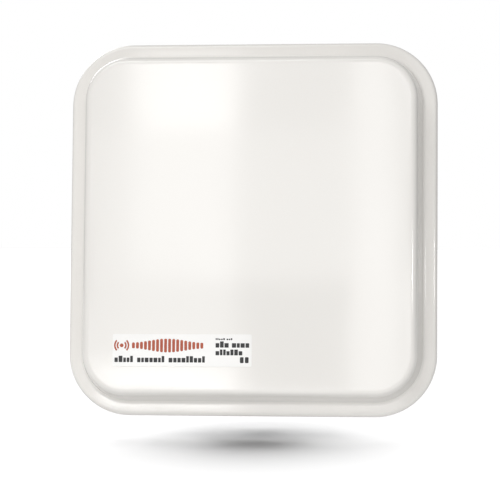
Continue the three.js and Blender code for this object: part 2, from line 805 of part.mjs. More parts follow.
/** A carriage bolt along +X, with its domed head behind x = 0 and a square neck in the ear. */
function carriageBolt() {
  const long = EAR_GAP + 2 * PLATE + BOLT_TAIL;
  const { radius, tall } = BOLT_HEAD;
  const body = turned([
    [0, -tall],
    [radius * 0.6, -tall * 0.85],
    [radius, -tall * 0.25],
    [radius, -FIT],
    [PIVOT_BOLT, -FIT],
    [PIVOT_BOLT, long - 1],
    [PIVOT_BOLT - 1, long],
    [0, long],
  ]);
  const side = 2 * (PIVOT_BOLT - FIT / 2);
  const thick = PLATE - 2 * FIT;
  const neck = new THREE.BoxGeometry(side, thick, side).translate(0, thick / 2, 0);
  return build(body, [neck]).applyMatrix4(turn(Y.clone().negate(), X, Z));
}
const BOLT = carriageBolt();
const BOLT_MIRRORED = BOLT.clone().applyMatrix4(turn(X.clone().negate(), Y.clone().negate(), Z));
const NUT_RIGHT = LARGE_NUT.clone().applyMatrix4(turn(Y.clone().negate(), X, Z));
const NUT_LEFT = LARGE_NUT.clone().applyMatrix4(turn(Y, X.clone().negate(), Z));

for (const [name, z] of [["pivot", PIVOT.z], ["lock", PIVOT.z + LOCK_ARM]]) {
  for (const [side, sign] of [["right", 1], ["left", -1]]) {
    const bolt = piece(root, `${name}_bolt_${side}`, sign > 0 ? BOLT : BOLT_MIRRORED, ZINC_STEEL);
    bolt.position.set(sign * (MAST_EAR_X - PLATE), PIVOT.y, z);
    const nut = piece(root, `${name}_nut_${side}`, sign > 0 ? NUT_RIGHT : NUT_LEFT, ZINC_STEEL);
    nut.position.set(sign * (PANEL_EAR_X + FIT), PIVOT.y, z);
  }
}

// ---- U-bolts ------------------------------------------------------------------------------

/** The centre line of a U-bolt: a leg, a half circle round the mast and the other leg. */
class ULine extends THREE.Curve {
  getPoint(t, target = new THREE.Vector3()) {
    const leg = BEND_Y - U_TIP_Y;
    const bend = Math.PI * U_LEG_X;
    const s = t * (2 * leg + bend);
    if (s < leg) return target.set(U_LEG_X, U_TIP_Y + s, 0);
    if (s > leg + bend) return target.set(-U_LEG_X, BEND_Y - (s - leg - bend), 0);
    const angle = (s - leg) / U_LEG_X;
    return target.set(U_LEG_X * Math.cos(angle), BEND_Y + U_LEG_X * Math.sin(angle), 0);
  }
}
const BEND_Y = MAST_RADIUS - (U_LEG_X - U_ROD); // the bend's inside touches the mast's far side

function uBolt() {
  const section = new THREE.Shape().absarc(0, 0, U_ROD, 0, 2 * Math.PI);
  const options = { extrudePath: new ULine(), steps: 26, curveSegments: 4, bevelEnabled: false };
  return new THREE.ExtrudeGeometry(section, options);
}
const U_BOLT = uBolt();
const U_NUT = SMALL_NUT.clone().applyMatrix4(HALF_TURN);

for (const [level, sign] of [["upper", 1], ["lower", -1]]) {
  const bolt = piece(root, `u_bolt_${level}`, U_BOLT, ZINC_STEEL);
  bolt.position.z = sign * U_HEIGHT;
  for (const [side, way] of [["right", 1], ["left", -1]]) {
    const nut = piece(root, `u_bolt_nut_${level}_${side}`, U_NUT, ZINC_STEEL);
    nut.position.set(way * U_LEG_X, mastWebFront - FIT, sign * U_HEIGHT);
  }
}

export default root;
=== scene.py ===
"""The looks of a UHF panel antenna on its tilting mast bracket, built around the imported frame."""
import random
from math import cos, degrees, pi, radians, sin, sqrt, tan

import bmesh
import bpy
from mathutils import Matrix, Vector

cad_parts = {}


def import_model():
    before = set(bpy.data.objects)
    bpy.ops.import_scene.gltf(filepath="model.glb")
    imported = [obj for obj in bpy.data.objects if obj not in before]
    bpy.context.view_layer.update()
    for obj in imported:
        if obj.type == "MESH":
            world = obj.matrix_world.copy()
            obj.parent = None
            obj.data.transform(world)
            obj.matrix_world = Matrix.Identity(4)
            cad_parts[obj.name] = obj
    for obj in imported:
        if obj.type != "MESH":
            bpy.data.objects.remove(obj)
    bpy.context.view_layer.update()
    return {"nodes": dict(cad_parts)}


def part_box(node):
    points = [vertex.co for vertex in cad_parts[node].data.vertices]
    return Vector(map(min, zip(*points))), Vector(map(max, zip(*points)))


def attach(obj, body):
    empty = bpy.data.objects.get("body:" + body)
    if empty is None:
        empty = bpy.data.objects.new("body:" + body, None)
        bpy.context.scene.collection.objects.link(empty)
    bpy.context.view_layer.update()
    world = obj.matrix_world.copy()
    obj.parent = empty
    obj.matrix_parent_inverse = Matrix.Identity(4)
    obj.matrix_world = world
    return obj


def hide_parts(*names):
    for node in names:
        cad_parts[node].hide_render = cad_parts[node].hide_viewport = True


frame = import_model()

random.seed(7)

MM = 0.001
SAME_POINT = 1e-6  # points closer than this are one
SLIVER = 2e-6  # the same, after a cut
PANEL = "panel"
CLAMP = "mast_clamp_body"

# ---- what the frame gives

RADOME_LO, RADOME_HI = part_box("radome")
REAR_Y = RADOME_HI.y  # the rear edge of the radome's skirt, depth 0
HALF_WIDTH = RADOME_HI.x
HALF_HEIGHT = RADOME_HI.z
PANEL_DEPTH = REAR_Y - RADOME_LO.y


def depth_of(y):
    """The depth in front of the skirt's rear edge."""
    return REAR_Y - y


def centre_of(node):
    """The middle of a CAD node's box."""
    lo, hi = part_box(node)
    return (lo + hi) / 2


def spot_of(node):
    """A node's place on the panel, as (x, z)."""
    middle = centre_of(node)
    return middle.x, middle.z


# ---- the shapes that the CAD model and this script share

CORNER_RADIUS = 43 * MM
SHELL = 3 * MM
EDGE_RADIUS = 3 * MM
FLANGE_DEPTH = 10 * MM
ROOT_INSET = 7.8 * MM
ROOT_RADIUS = 2.5 * MM
SHOULDER_RADIUS = 5 * MM
WALL_DRAFT = radians(12)
POST_RADIUS = 4.5 * MM
PILOT_RADIUS = 1.6 * MM
PILOT_DEEP = 12 * MM
GAP = 0.2 * MM
ROOM = 0.4 * MM  # how much wider a drilled hole is than what passes through it
PLATE = 3 * MM  # thickness of both brackets
BEND_RADIUS = 5 * MM
PIVOT_Y, PIVOT_Z = centre_of("pivot_nut_right").y, centre_of("pivot_nut_right").z
LOCK_ARM = centre_of("lock_nut_right").z - PIVOT_Z
TILT_DOWN = 30
TILT_UP = 15
BOLT_RADIUS = 4 * MM
ROD_RADIUS = 3 * MM
MAST_RADIUS = 20 * MM
THREAD_PITCH = {ROD_RADIUS: 1.0 * MM, BOLT_RADIUS: 1.25 * MM}
THREAD_DEEP = 0.6  # a groove's depth over the pitch
THREAD_STEPS = 8  # rings in one pitch


# ---- mesh tools

def skin(rings, closed=False, caps=True):
    """Vertices and faces of a skin over rings of points, with its ends capped."""
    count = len(rings[0])
    points = [point for ring in rings for point in ring]
    faces = []
    for i in range(len(rings) if closed else len(rings) - 1):
        a, b = i * count, (i + 1) % len(rings) * count
        for j in range(count):
            k = (j + 1) % count
            faces.append((a + j, a + k, b + k, b + j))
    if caps and not closed:
        faces.append(tuple(reversed(range(count))))
        faces.append(tuple(range(len(points) - count, len(points))))
    return points, faces


def merge(mesh, distance=SAME_POINT, slivers=True, flats=False, outward=True):
    """Merges a mesh's double points, then clears slivers, joins flat faces and turns the faces outward."""
    bm = bmesh.new()
    bm.from_mesh(mesh)
    bmesh.ops.remove_doubles(bm, verts=bm.verts, dist=distance)
    if slivers:
        bmesh.ops.dissolve_degenerate(bm, edges=bm.edges, dist=distance)
    if flats:
        bmesh.ops.dissolve_limit(bm, angle_limit=radians(0.5), verts=bm.verts, edges=bm.edges)
    if outward:
        bmesh.ops.recalc_face_normals(bm, faces=bm.faces)
    bm.to_mesh(mesh)
    bm.free()


def mesh_of(name, points, faces):
    """A mesh with merged points and outward faces."""
    mesh = bpy.data.meshes.new(name)
    mesh.from_pydata([tuple(p) for p in points], [], faces)
    merge(mesh)
    return mesh


def joined(name, meshes):
    """One mesh made of several."""
    bm = bmesh.new()
    for mesh in meshes:
        bm.from_mesh(mesh)
    made = bpy.data.meshes.new(name)
    bm.to_mesh(made)
    bm.free()
    return made


def thing(name, data):
    """An object in the scene that shows a mesh or a curve, or is a light or a camera."""
    made = bpy.data.objects.new(name, data)
    bpy.context.scene.collection.objects.link(made)
    return made


def evaluated(obj):
    """An object as its modifiers leave it."""
    return obj.evaluated_get(bpy.context.evaluated_depsgraph_get())


def settle(obj):
    """Applies an object's modifiers to its mesh."""
    mesh = bpy.data.meshes.new_from_object(evaluated(obj))
    old = obj.data
    obj.modifiers.clear()
    obj.data = mesh
    bpy.data.meshes.remove(old)
    return obj


def taken(obj):
    """An object's mesh, with the object itself gone."""
    mesh = obj.data
    bpy.data.objects.remove(obj)
    return mesh


def combine(obj, other, operation):
    """Joins, cuts or trims an object with another one, which is used up."""
    modifier = obj.modifiers.new("boolean", "BOOLEAN")
    modifier.operation = operation
    modifier.solver = "EXACT"
    modifier.object = other
    settle(obj)
    bpy.data.objects.remove(other)
    merge(obj.data, SLIVER, outward=False)
    return obj


def soften(obj, width, segments=2, angle=35):
    """Rounds the sharp edges of an object."""
    merge(obj.data, SLIVER, slivers=False, flats=True, outward=False)
    modifier = obj.modifiers.new("bevel", "BEVEL")
    modifier.width = width
    modifier.segments = segments
    modifier.limit_method = "ANGLE"
    modifier.angle_limit = radians(angle)
    modifier.use_clamp_overlap = False
    return settle(obj)


def shade(mesh, angle=32):
    """Smooth shading, with creases at sharp edges, that leaves the broad faces flat."""
    mesh.shade_smooth()
    mesh.set_sharp_from_angle(angle=radians(angle))
    made = thing("shading", mesh)
    made.modifiers.new("normals", "WEIGHTED_NORMAL").keep_sharp = True
    normals = [tuple(n.vector) for n in evaluated(made).data.corner_normals]
    mesh.normals_split_custom_set(normals)
    bpy.data.objects.remove(made)


def arc(u, v, radius, start, end, steps):
    """Points on an arc, in degrees."""
    angles = [radians(start + (end - start) * i / steps) for i in range(steps + 1)]
    return [(u + radius * cos(a), v + radius * sin(a)) for a in angles]


def circle(u, v, radius, steps=48):
    """Points round a circle."""
    return arc(u, v, radius, 0, 360, steps)[:-1]


def box_outline(u, v, width, height, corner=0.0, steps=6):
    """A rectangle with round corners, centred on (u, v)."""
    if not corner:
        signs = ((-1, -1), (1, -1), (1, 1), (-1, 1))
        return [(u + a * width / 2, v + b * height / 2) for a, b in signs]
    a, b = width / 2 - corner, height / 2 - corner
    return [
        p
        for su, sv, start in ((1, 1, 0), (-1, 1, 90), (-1, -1, 180), (1, -1, 270))
        for p in arc(u + su * a, v + sv * b, corner, start, start + 90, steps)
    ]


# Where a flat drawing (u, v) and its height w lie in the assembly.
ON_PANEL = lambda u, v, w: Vector((u, REAR_Y - w, v))
FROM_SIDE = lambda u, v, w: Vector((w, u, v))
FROM_TOP = lambda u, v, w: Vector((u, v, w))
FROM_REAR = lambda u, v, w: Vector((u, w, v))
UP_AHEAD = lambda u, v, w: Vector((w, v, u))


def prism(name, outline, low, high, way):
    """A straight-sided solid over an outline."""
    rings = [[way(u, v, w) for u, v in outline] for w in (low, high)]
    return thing(name, mesh_of(name, *skin(rings)))


def sheet(name, outline, holes, low, high, way, edge):
    """A flat sheet with holes and softly rounded edges, from a filled curve."""
    curve = bpy.data.curves.new(name, "CURVE")
    curve.dimensions = "2D"
    curve.fill_mode = "BOTH"
    curve.extrude = (high - low) / 2 - edge
    curve.bevel_depth = edge
    curve.bevel_resolution = 2
    curve.offset = -edge
    for loop in [outline, *holes]:
        spline = curve.splines.new("POLY")
        spline.points.add(len(loop) - 1)
        spline.use_cyclic_u = True
        for point, (u, v) in zip(spline.points, loop):
            point.co = (u, v, 0, 1)
    drawn = thing(name, curve)
    mesh = bpy.data.meshes.new_from_object(evaluated(drawn))
    bpy.data.objects.remove(drawn)
    middle = (low + high) / 2
    for vertex in mesh.vertices:
        u, v, w = vertex.co
        vertex.co = way(u, v, w + middle)
    merge(mesh, slivers=False)
    return thing(name, mesh)


def wave(turns):
    """A thread's section, 0 on its crest and 1 in its groove."""
    phase = abs(2 * (turns % 1) - 1)
    return min(max((phase - 0.12) / 0.76, 0), 1)


def turned(profile, segments=48, thread=None):
    """Rings about +Z through (radius, height) points. A thread is (low, high, pitch)."""
    rows = [(r, h, 0.0) for r, h in profile]
    if thread:
        low, high, pitch = thread
        at = next(i for i, (r, h, _) in enumerate(rows) if h >= low)
        radius = rows[at][0]
        steps = round((high - low) / pitch * THREAD_STEPS)
        cut = []
        for i in range(steps + 1):
            h = low + (high - low) * i / steps
            fade = min(1, (h - low) / pitch, (high - h) / pitch)
            cut.append((radius, h, THREAD_DEEP * pitch * fade))
        rows[at:at] = cut
    rings = []
    for r, h, deep in rows:
        ring = []
        for j in range(segments):
            angle = 2 * pi * j / segments
            radius = r - (deep * wave(h / thread[2] - j / segments) if deep else 0)
            ring.append(Vector((radius * cos(angle), radius * sin(angle), h)))
        rings.append(ring)
    return rings


def lathe(name, profile, segments=48, thread=None, closed=False):
    """A turned solid, about +Z."""
    return thing(name, mesh_of(name, *skin(turned(profile, segments, thread), closed=closed, caps=False)))


def standing(name, rings, x, z):
    """The mesh of turned rings that stand on the panel at (x, z), with their heights as depths."""
    moved = [[ON_PANEL(p.x + x, p.y + z, p.z) for p in ring] for ring in rings]
    return mesh_of(name, *skin(moved, caps=False))


def mm(points):
    """Points given in millimetres."""
    return [tuple(value * MM for value in point) for point in points]


FORWARD = Matrix(((1, 0, 0, 0), (0, 0, -1, 0), (0, 1, 0, 0), (0, 0, 0, 1)))  # +Z to -Y
BACKWARD = Matrix(((1, 0, 0, 0), (0, 0, 1, 0), (0, -1, 0, 0), (0, 0, 0, 1)))  # +Z to +Y
TO_RIGHT = Matrix(((0, 0, 1, 0), (1, 0, 0, 0), (0, 1, 0, 0), (0, 0, 0, 1)))  # +Z to +X
TO_LEFT = Matrix(((0, 0, -1, 0), (-1, 0, 0, 0), (0, 1, 0, 0), (0, 0, 0, 1)))  # +Z to -X


# ---- materials

class Tree:
    """A node tree, with short ways to add nodes and join them."""

    def __init__(self, tree):
        self.tree = tree

    def give(self, inlet, value):
        """Gives an input a value, or another node's output."""
        if isinstance(value, bpy.types.NodeSocket):
            self.tree.links.new(value, inlet)
        else:
            inlet.default_value = value

    def node(self, kind, values=(), **settings):
        """A new node, with its settings and then its inputs."""
        made = self.tree.nodes.new(kind)
        for key, value in settings.items():
            setattr(made, key, value)
        for key, value in dict(values).items():
            self.give(made.inputs[key], value)
        return made

    def ranged(self, value, low, high, from_low=0.3, from_high=0.7, **settings):
        """A value stretched to run from low to high."""
        values = {"Value": value, "From Min": from_low, "From Max": from_high, "To Min": low, "To Max": high}
        return self.node("ShaderNodeMapRange", values, **settings).outputs["Result"]


class Paint(Tree):
    """A node material with a Principled shader and a few ways to vary it."""

    def __init__(self, name, color, roughness, metallic=0.0, **more):
        self.material = bpy.data.materials.new(name)
        self.material.use_nodes = True
        super().__init__(self.material.node_tree)
        self.inputs = self.tree.nodes["Principled BSDF"].inputs
        self.set("Base Color", (*color, 1))
        self.set("Roughness", roughness)
        self.set("Metallic", metallic)
        for key, value in more.items():
            self.set(key.replace("_", " "), value)
        self.place = self.node("ShaderNodeTexCoord").outputs["Object"]

    def set(self, key, value):
        self.give(self.inputs[key], value)

    def stretched(self, scale):
        """The object's own coordinates, scaled unevenly."""
        return self.node("ShaderNodeMapping", {"Vector": self.place, "Scale": scale}).outputs["Vector"]

    def noise(self, scale, detail=3.0, rough=0.5, at=None):
        values = {"Vector": at or self.place, "Scale": scale, "Detail": detail, "Roughness": rough}
        return self.node("ShaderNodeTexNoise", values).outputs["Fac"]

    def cells(self, scale):
        """A grey of its own for each crystal."""
        cells = self.node("ShaderNodeTexVoronoi", {"Vector": self.place, "Scale": scale})
        return self.node("ShaderNodeSeparateColor", {0: cells.outputs["Color"]}).outputs[0]

    def tint(self, factor, color, amount=1.0):
        """Mixes a second colour in by a factor, after what was mixed before."""
        base = self.inputs["Base Color"]
        before = base.links[0].from_socket if base.links else tuple(base.default_value)
        values = {0: self.ranged(factor, 0, amount), 6: before, 7: (*color, 1)}
        self.give(base, self.node("ShaderNodeMix", values, data_type="RGBA").outputs[2])

    def rough(self, factor, low, high):
        self.set("Roughness", self.ranged(factor, low, high))

    def bump(self, height, distance):
        """Adds relief, of a height in metres."""
        values = {"Height": height, "Distance": distance}
        if self.inputs["Normal"].links:
            values["Normal"] = self.inputs["Normal"].links[0].from_socket
        self.set("Normal", self.node("ShaderNodeBump", values).outputs["Normal"])


def radome_plastic():
    p = Paint("radome_plastic", (0.885, 0.862, 0.825), 0.1, IOR=1.5)
    p.tint(p.noise(9, 4), (0.87, 0.847, 0.81))
    p.tint(p.noise(900, 2, 0.6), (0.895, 0.875, 0.84), 0.5)
    p.rough(p.noise(14, 4), 0.07, 0.1)
    p.bump(p.noise(110, 2), 2e-6)
    return p.material


def plain(name, color, second, roughness, metallic, tint, gloss, relief, **more):
    """A material whose colour, gloss and relief each vary with a noise of their own."""
    p = Paint(name, color, roughness, metallic, **more)
    p.tint(p.noise(*tint), second)
    p.rough(p.noise(*gloss[:2]), *gloss[2:])
    p.bump(p.noise(*relief[:2]), relief[2])
    return p.material


def print_ink(name, color, second):
    return plain(name, color, second, 0.45, 0.0, (700, 3), (900, 2, 0.38, 0.55), (3000, 2, 1.5e-6))


def turned_ptfe():
    p = Paint("turned_ptfe", (0.88, 0.88, 0.86), 0.4, Subsurface_Weight=0.2, Subsurface_Scale=0.002)
    p.tint(p.noise(400, 2), (0.83, 0.83, 0.80))
    p.rough(p.noise(700, 2), 0.32, 0.48)
    p.bump(p.noise(60, 2, at=p.stretched((1, 90, 1))), 4e-6)
    return p.material


def mill_aluminium():
    p = Paint("mill_aluminium", (0.80, 0.81, 0.82), 0.33, 1.0)
    grain = p.noise(6, 5, 0.6, at=p.stretched((1, 1, 160)))
    p.tint(grain, (0.70, 0.71, 0.73))
    p.tint(p.noise(22, 5, 0.6), (0.74, 0.75, 0.76), 0.6)
    p.rough(p.noise(7, 4, 0.6, at=p.stretched((1, 1, 120))), 0.27, 0.44)
    p.bump(grain, 3e-6)
    return p.material


def galvanised_steel():
    p = Paint("galvanised_steel", (0.60, 0.62, 0.635), 0.42, 1.0)
    spangle = p.cells(130)
    p.tint(spangle, (0.545, 0.565, 0.585))
    p.tint(p.noise(35, 5, 0.6), (0.69, 0.71, 0.72), 0.7)
    p.rough(spangle, 0.38, 0.5)
    p.bump(p.noise(420, 4, 0.6), 1.2e-5)
    p.bump(p.noise(60, 3), 3e-5)
    return p.material


def zinc_plate():
    p = Paint("zinc_plate", (0.71, 0.735, 0.76), 0.28, 1.0)
    p.tint(p.noise(140, 4), (0.60, 0.62, 0.66))
    p.tint(p.noise(60, 3), (0.74, 0.73, 0.68), 0.35)
    p.rough(p.noise(380, 4), 0.2, 0.42)
    p.bump(p.noise(1100, 3), 4e-6)
    return p.material


WHITE = radome_plastic()
VINYL = plain("label_vinyl", (0.95, 0.94, 0.92), (0.93, 0.92, 0.90), 0.18, 0.0,
              (60, 3), (300, 3, 0.14, 0.22), (1500, 2, 2e-6))
RED_INK = print_ink("red_ink", (0.42, 0.075, 0.035), (0.48, 0.11, 0.05))
BLACK_INK = print_ink("black_ink", (0.012, 0.012, 0.013), (0.03, 0.03, 0.03))
RUBBER = plain("seal_rubber", (0.025, 0.025, 0.026), (0.045, 0.045, 0.046), 0.8, 0.0,
               (220, 4), (400, 3, 0.68, 0.9), (2200, 3, 1e-5))
NYLON = plain("natural_nylon", (0.80, 0.78, 0.70), (0.74, 0.72, 0.64), 0.42, 0.0,
              (180, 3), (500, 2, 0.34, 0.5), (1800, 2, 4e-6), Subsurface_Weight=0.15, Subsurface_Scale=0.002)
PTFE = turned_ptfe()
VENT = plain("vent_plastic", (0.045, 0.047, 0.05), (0.065, 0.067, 0.07), 0.5, 0.0,
             (500, 3), (800, 2, 0.42, 0.62), (2600, 3, 8e-6))
ALUMINIUM = mill_aluminium()
BRASS = plain("bright_brass", (0.78, 0.60, 0.30), (0.66, 0.47, 0.21), 0.26, 1.0,
              (120, 4), (300, 3, 0.2, 0.4), (900, 3, 3e-6))
NICKEL = plain("nickel_plate", (0.78, 0.75, 0.69), (0.68, 0.65, 0.58), 0.18, 1.0,
               (160, 4), (420, 3, 0.13, 0.3), (1200, 2, 2e-6))
GALVANISED = galvanised_steel()
ZINC = zinc_plate()


def dress(obj, material, *nodes, body=PANEL, angle=32):
    """Gives a piece its shading and material, unless another piece that shares its mesh did so already, then
    puts it on its body and hides the CAD nodes that it stands for."""
    if not obj.data.materials:
        obj.data.materials.append(material)
        shade(obj.data, angle)
    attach(obj, body)
    if nodes:
        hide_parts(*nodes)
    return obj


def copy_of(mesh, name, matrix, *nodes, material=ZINC, body=PANEL):
    """A piece that shows a mesh which other pieces share."""
    made = thing(name, mesh)
    made.matrix_world = matrix
    bpy.context.view_layer.update()
    return dress(made, material, *nodes, body=body)


# ---- camera, lights and floor

FRAME_WIDTH = 349.25 * MM  # what the frame shows across, at the panel's rear edge
DISTANCE = 1.0
SIDEWAYS = 0.098  # the view is from a little to the right of the panel's normal, and below it
SENSOR = 36.0
OFF_CENTRE = Vector((2.2352, 0, 14.03985)) * MM  # the panel's middle in the frame, right and up
AIM = Vector((0.030, REAR_Y, -0.047))
ROLL = radians(0.37)


def camera():
    data = bpy.data.cameras.new("camera")
    made = thing("camera", data)
    eye = Vector((SIDEWAYS * DISTANCE, REAR_Y - DISTANCE, -SIDEWAYS * DISTANCE))
    made.location = eye
    look = (AIM - eye).to_track_quat("-Z", "Y").to_matrix().to_4x4()
    made.rotation_euler = (look @ Matrix.Rotation(ROLL, 4, "Z")).to_euler()
    data.sensor_width = SENSOR
    data.lens = SENSOR * (AIM - eye).length / FRAME_WIDTH
    data.shift_x = -(OFF_CENTRE.x + AIM.x) / FRAME_WIDTH
    data.shift_y = -(OFF_CENTRE.z + AIM.z) / FRAME_WIDTH
    bpy.context.scene.camera = made


FLOOR_HALF = 40.0
FLOOR_Z = -146 * MM  # the floor's height at the middle of the shadow
FLOOR_Y = -95 * MM
FLOOR_SLOPE = radians(5)  # the paper rises a little towards the back


def floor():
    corners = []
    for x, y in box_outline(0, 0, 2 * FLOOR_HALF, 2 * FLOOR_HALF):
        corners.append((x, y, FLOOR_Z + (y - FLOOR_Y) * tan(FLOOR_SLOPE)))
    mesh = bpy.data.meshes.new("floor")
    mesh.from_pydata(corners, [], [(0, 1, 2, 3)])
    made = thing("floor", mesh)
    paint = Paint("floor_paper", (0.2, 0.2, 0.2), 0.9)
    paint.set("Specular IOR Level", 0.1)
    mesh.materials.append(paint.material)
    made.visible_diffuse = False
    return made


def light(name, kind, eye, aim, **settings):
    data = bpy.data.lights.new(name, kind)
    for key, value in settings.items():
        setattr(data, key, value)
    made = thing(name, data)
    made.location = eye
    made.rotation_euler = (Vector(aim) - Vector(eye)).to_track_quat("-Z", "Y").to_euler()
    made.visible_camera = False
    return made


def radiant(name, radiance, eye, aim, width, height):
    """A rectangular softbox of a given radiance."""
    return light(name, "AREA", eye, aim, shape="RECTANGLE", size=width, size_y=height,
                 energy=radiance * pi * width * height)


CARD_Y = -2.5
MIRROR_Y = 2 * RADOME_LO.y - (REAR_Y - DISTANCE)  # the camera's image behind the panel's face


def reflected(x, z):
    """Where the camera sees the plane of the cards, mirrored in a point of the panel's face."""
    spread = (MIRROR_Y - CARD_Y) / (MIRROR_Y - RADOME_LO.y)
    x0, z0 = SIDEWAYS * DISTANCE, -SIDEWAYS * DISTANCE
    return x0 + (x - x0) * spread, z0 + (z - z0) * spread


def card(name, radiance, left, right, bottom, top):
    """A softbox whose mirror image covers part of the panel's face, given in millimetres."""
    x0, z0 = reflected(left * MM, bottom * MM)
    x1, z1 = reflected(right * MM, top * MM)
    middle = ((x0 + x1) / 2, CARD_Y, (z0 + z1) / 2)
    return radiant(name, radiance, middle, (middle[0], 0, middle[2]), x1 - x0, z1 - z0)


# Name, radiance, and the part of the panel's face that each softbox is mirrored in, in millimetres.
CARDS = (
    ("edge_upper", 0.8, -108, -82, 66, 118),
    ("edge_middle", 1.9, -108, -82, -36, 66),
    ("edge_lower", 1.7, -108, -82, -96, -36),
    ("left_upper", 6.0, -82, -8, 66, 120),
    ("left_middle", 3.9, -82, -8, -36, 66),
    ("left_lower", 2.1, -82, -8, -96, -36),
    ("left_foot", 6.5, -112, -8, -117, -96),
    ("left_brim", 10.5, -112, -8, -140, -117),
    ("left_crown", 4.6, -82, -8, 120, 136),
    ("centre_crown", 1.6, -8, 69, 120, 136),
    ("centre_upper", 1.0, -8, 69, 66, 120),
    ("centre_middle", 1.8, -8, 69, -36, 66),
    ("centre_foot", 4.0, -8, 110, -140, -121),
    ("band_upper", 3.9, 70, 98, -36, 118),
    ("band_lower", 3.4, 70, 106, -121, -36),
    ("right_edge", 1.6, 98, 112, -36, 100),
)


# Name, radiance, place, aim, width and height of the softboxes that light the sides, in metres.
SOFTBOXES = (
    ("bounce", 1.05, (0.1, -1.0, -0.75), (0, -0.1, -0.1), 1.3, 0.6),
    ("key", 3.2, (-0.7, -1.7, 1.9), (0, -0.1, 0), 1.3, 1.3),
    ("rear", 5.0, (-1.3, 1.7, 1.6), (0, -0.05, 0), 1.2, 1.2),
    ("side_glint", 18, (0.91, -1.45, 0.078), (0.113, -0.118, -0.018), 0.26, 0.12),
)
SHADOW_SUN = (-0.035, 0.4, 1)  # where the sun that throws the shadow stands
SHADOW_SUN_ENERGY = 15.6
SHADOW_SUN_WIDTH = radians(37)
FLOOR_SUN_ENERGY = 0.8
FRONT_FILL = 0.615
BACK_FILL = 0.3
DARK_SIDE = (0.24, 0.95, 0)
DARK_FROM, DARK_TO = -0.8, 0.3  # where the room darkens, along that direction


def world():
    """A studio that is lighter in front of the panel than behind it, and white to the camera."""
    made = bpy.data.worlds.new("studio")
    bpy.context.scene.world = made
    made.use_nodes = True
    studio = Tree(made.node_tree)
    way = studio.node("ShaderNodeTexCoord").outputs["Generated"]
    toward = studio.node("ShaderNodeVectorMath", {0: way, 1: DARK_SIDE}, operation="DOT_PRODUCT")
    room = studio.ranged(toward.outputs["Value"], FRONT_FILL, BACK_FILL, DARK_FROM, DARK_TO,
                         interpolation_type="SMOOTHSTEP")
    to_camera = studio.node("ShaderNodeLightPath").outputs["Is Camera Ray"]
    seen = studio.node("ShaderNodeMix", {0: to_camera, 2: room, 3: 1.0})
    back = studio.tree.nodes["Background"]
    studio.give(back.inputs["Color"], (1, 1, 1, 1))
    studio.give(back.inputs["Strength"], seen.outputs[0])


def linked(lamp, objects, state, role="receiver_collection"):
    """Lets a light reach, or be blocked by, only some objects (INCLUDE) or all others (EXCLUDE)."""
    group = bpy.data.collections.new(lamp.name + "_link")
    for obj in objects:
        group.objects.link(obj)
    setattr(lamp.light_linking, role, group)
    for entry in group.collection_objects:
        entry.light_linking.link_state = state


def lights(ground):
    """Two suns for the floor alone, one shadowed by the bracket's parts, and softboxes for all the rest."""
    hardware = [o for o in bpy.context.scene.objects
                if o.type == "MESH" and o.data.materials and o.data.materials[0] in (GALVANISED, ZINC)]
    shadow = light("floor_back", "SUN", SHADOW_SUN, (0, 0, 0),
                   energy=SHADOW_SUN_ENERGY, angle=SHADOW_SUN_WIDTH)
    linked(shadow, [ground], "INCLUDE")
    linked(shadow, hardware, "INCLUDE", "blocker_collection")
    even = light("floor_top", "SUN", (0, 0, 3), (0, 0, 0), energy=FLOOR_SUN_ENERGY, use_shadow=False)
    linked(even, [ground], "INCLUDE")
    bounce, key, rear, glint = [radiant(*row) for row in SOFTBOXES]
    linked(bounce, [ground], "EXCLUDE", "blocker_collection")
    glint.visible_diffuse = False
    for lamp in [bounce, key, rear, glint, *[card(*row) for row in CARDS]]:
        linked(lamp, [ground], "EXCLUDE")
    bpy.context.scene.view_settings.view_transform = "Standard"


# ---- radome

def panel_ring(inset, corner_steps=24, side_steps=22):
    """The panel's outline at an inset: four straight sides and four round corners."""
    a, b = HALF_WIDTH - CORNER_RADIUS, HALF_HEIGHT - CORNER_RADIUS
    turns = [arc(u, v, CORNER_RADIUS - inset, start, start + 90, corner_steps)
             for u, v, start in ((a, b, 0), (-a, b, 90), (-a, -b, 180), (a, -b, 270))]
    ring = []
    for turn, following in zip(turns, turns[1:] + turns[:1]):
        ring += turn
        near, far = turn[-1], following[0]
        for t in (step / side_steps for step in range(1, side_steps)):
            ring.append((near[0] * (1 - t) + far[0] * t, near[1] * (1 - t) + far[1] * t))
    return ring


def radome_side(inside):
    """[inset, depth] from the front face back to the skirt's edge, at a depth inside the surface."""
    radii = ROOT_RADIUS + SHOULDER_RADIUS
    root_depth = FLANGE_DEPTH + ROOT_RADIUS
    shoulder_depth = PANEL_DEPTH - SHOULDER_RADIUS
    wall = (shoulder_depth - root_depth + radii * sin(WALL_DRAFT)) / cos(WALL_DRAFT)
    shoulder = ROOT_INSET + radii * cos(WALL_DRAFT) + wall * sin(WALL_DRAFT)
    draft = degrees(WALL_DRAFT)
    brim = arc(EDGE_RADIUS, FLANGE_DEPTH - EDGE_RADIUS, EDGE_RADIUS, 90, 180, 8)
    return [
        *arc(shoulder, shoulder_depth, SHOULDER_RADIUS - inside, 90, 180 - draft, 10),
        *arc(ROOT_INSET, root_depth, ROOT_RADIUS + inside, -draft, -90, 8),
        *([(inside, FLANGE_DEPTH - inside)] if inside else brim),
        (inside, 0.6 * MM),
        (inside, 0) if inside else (0.3 * MM, 0),
    ]


def ripple(u, v):
    """How far the moulded face lies below its highest point: a slow, uneven sink, in metres."""
    slow = sin(31 * u + 0.6) * cos(23 * v - 0.4) + 0.6 * sin(47 * v + 19 * u + 1.9)
    return 0.035 * MM * (1.6 + slow)


def face_rings(edge, depth, steps=26):
    """Rings from the middle of a flat face out to its edge."""
    scales = [max(i, 0.02) / steps for i in range(steps)]
    return [[ON_PANEL(u * t, v * t, depth) for u, v in edge] for t in scales]


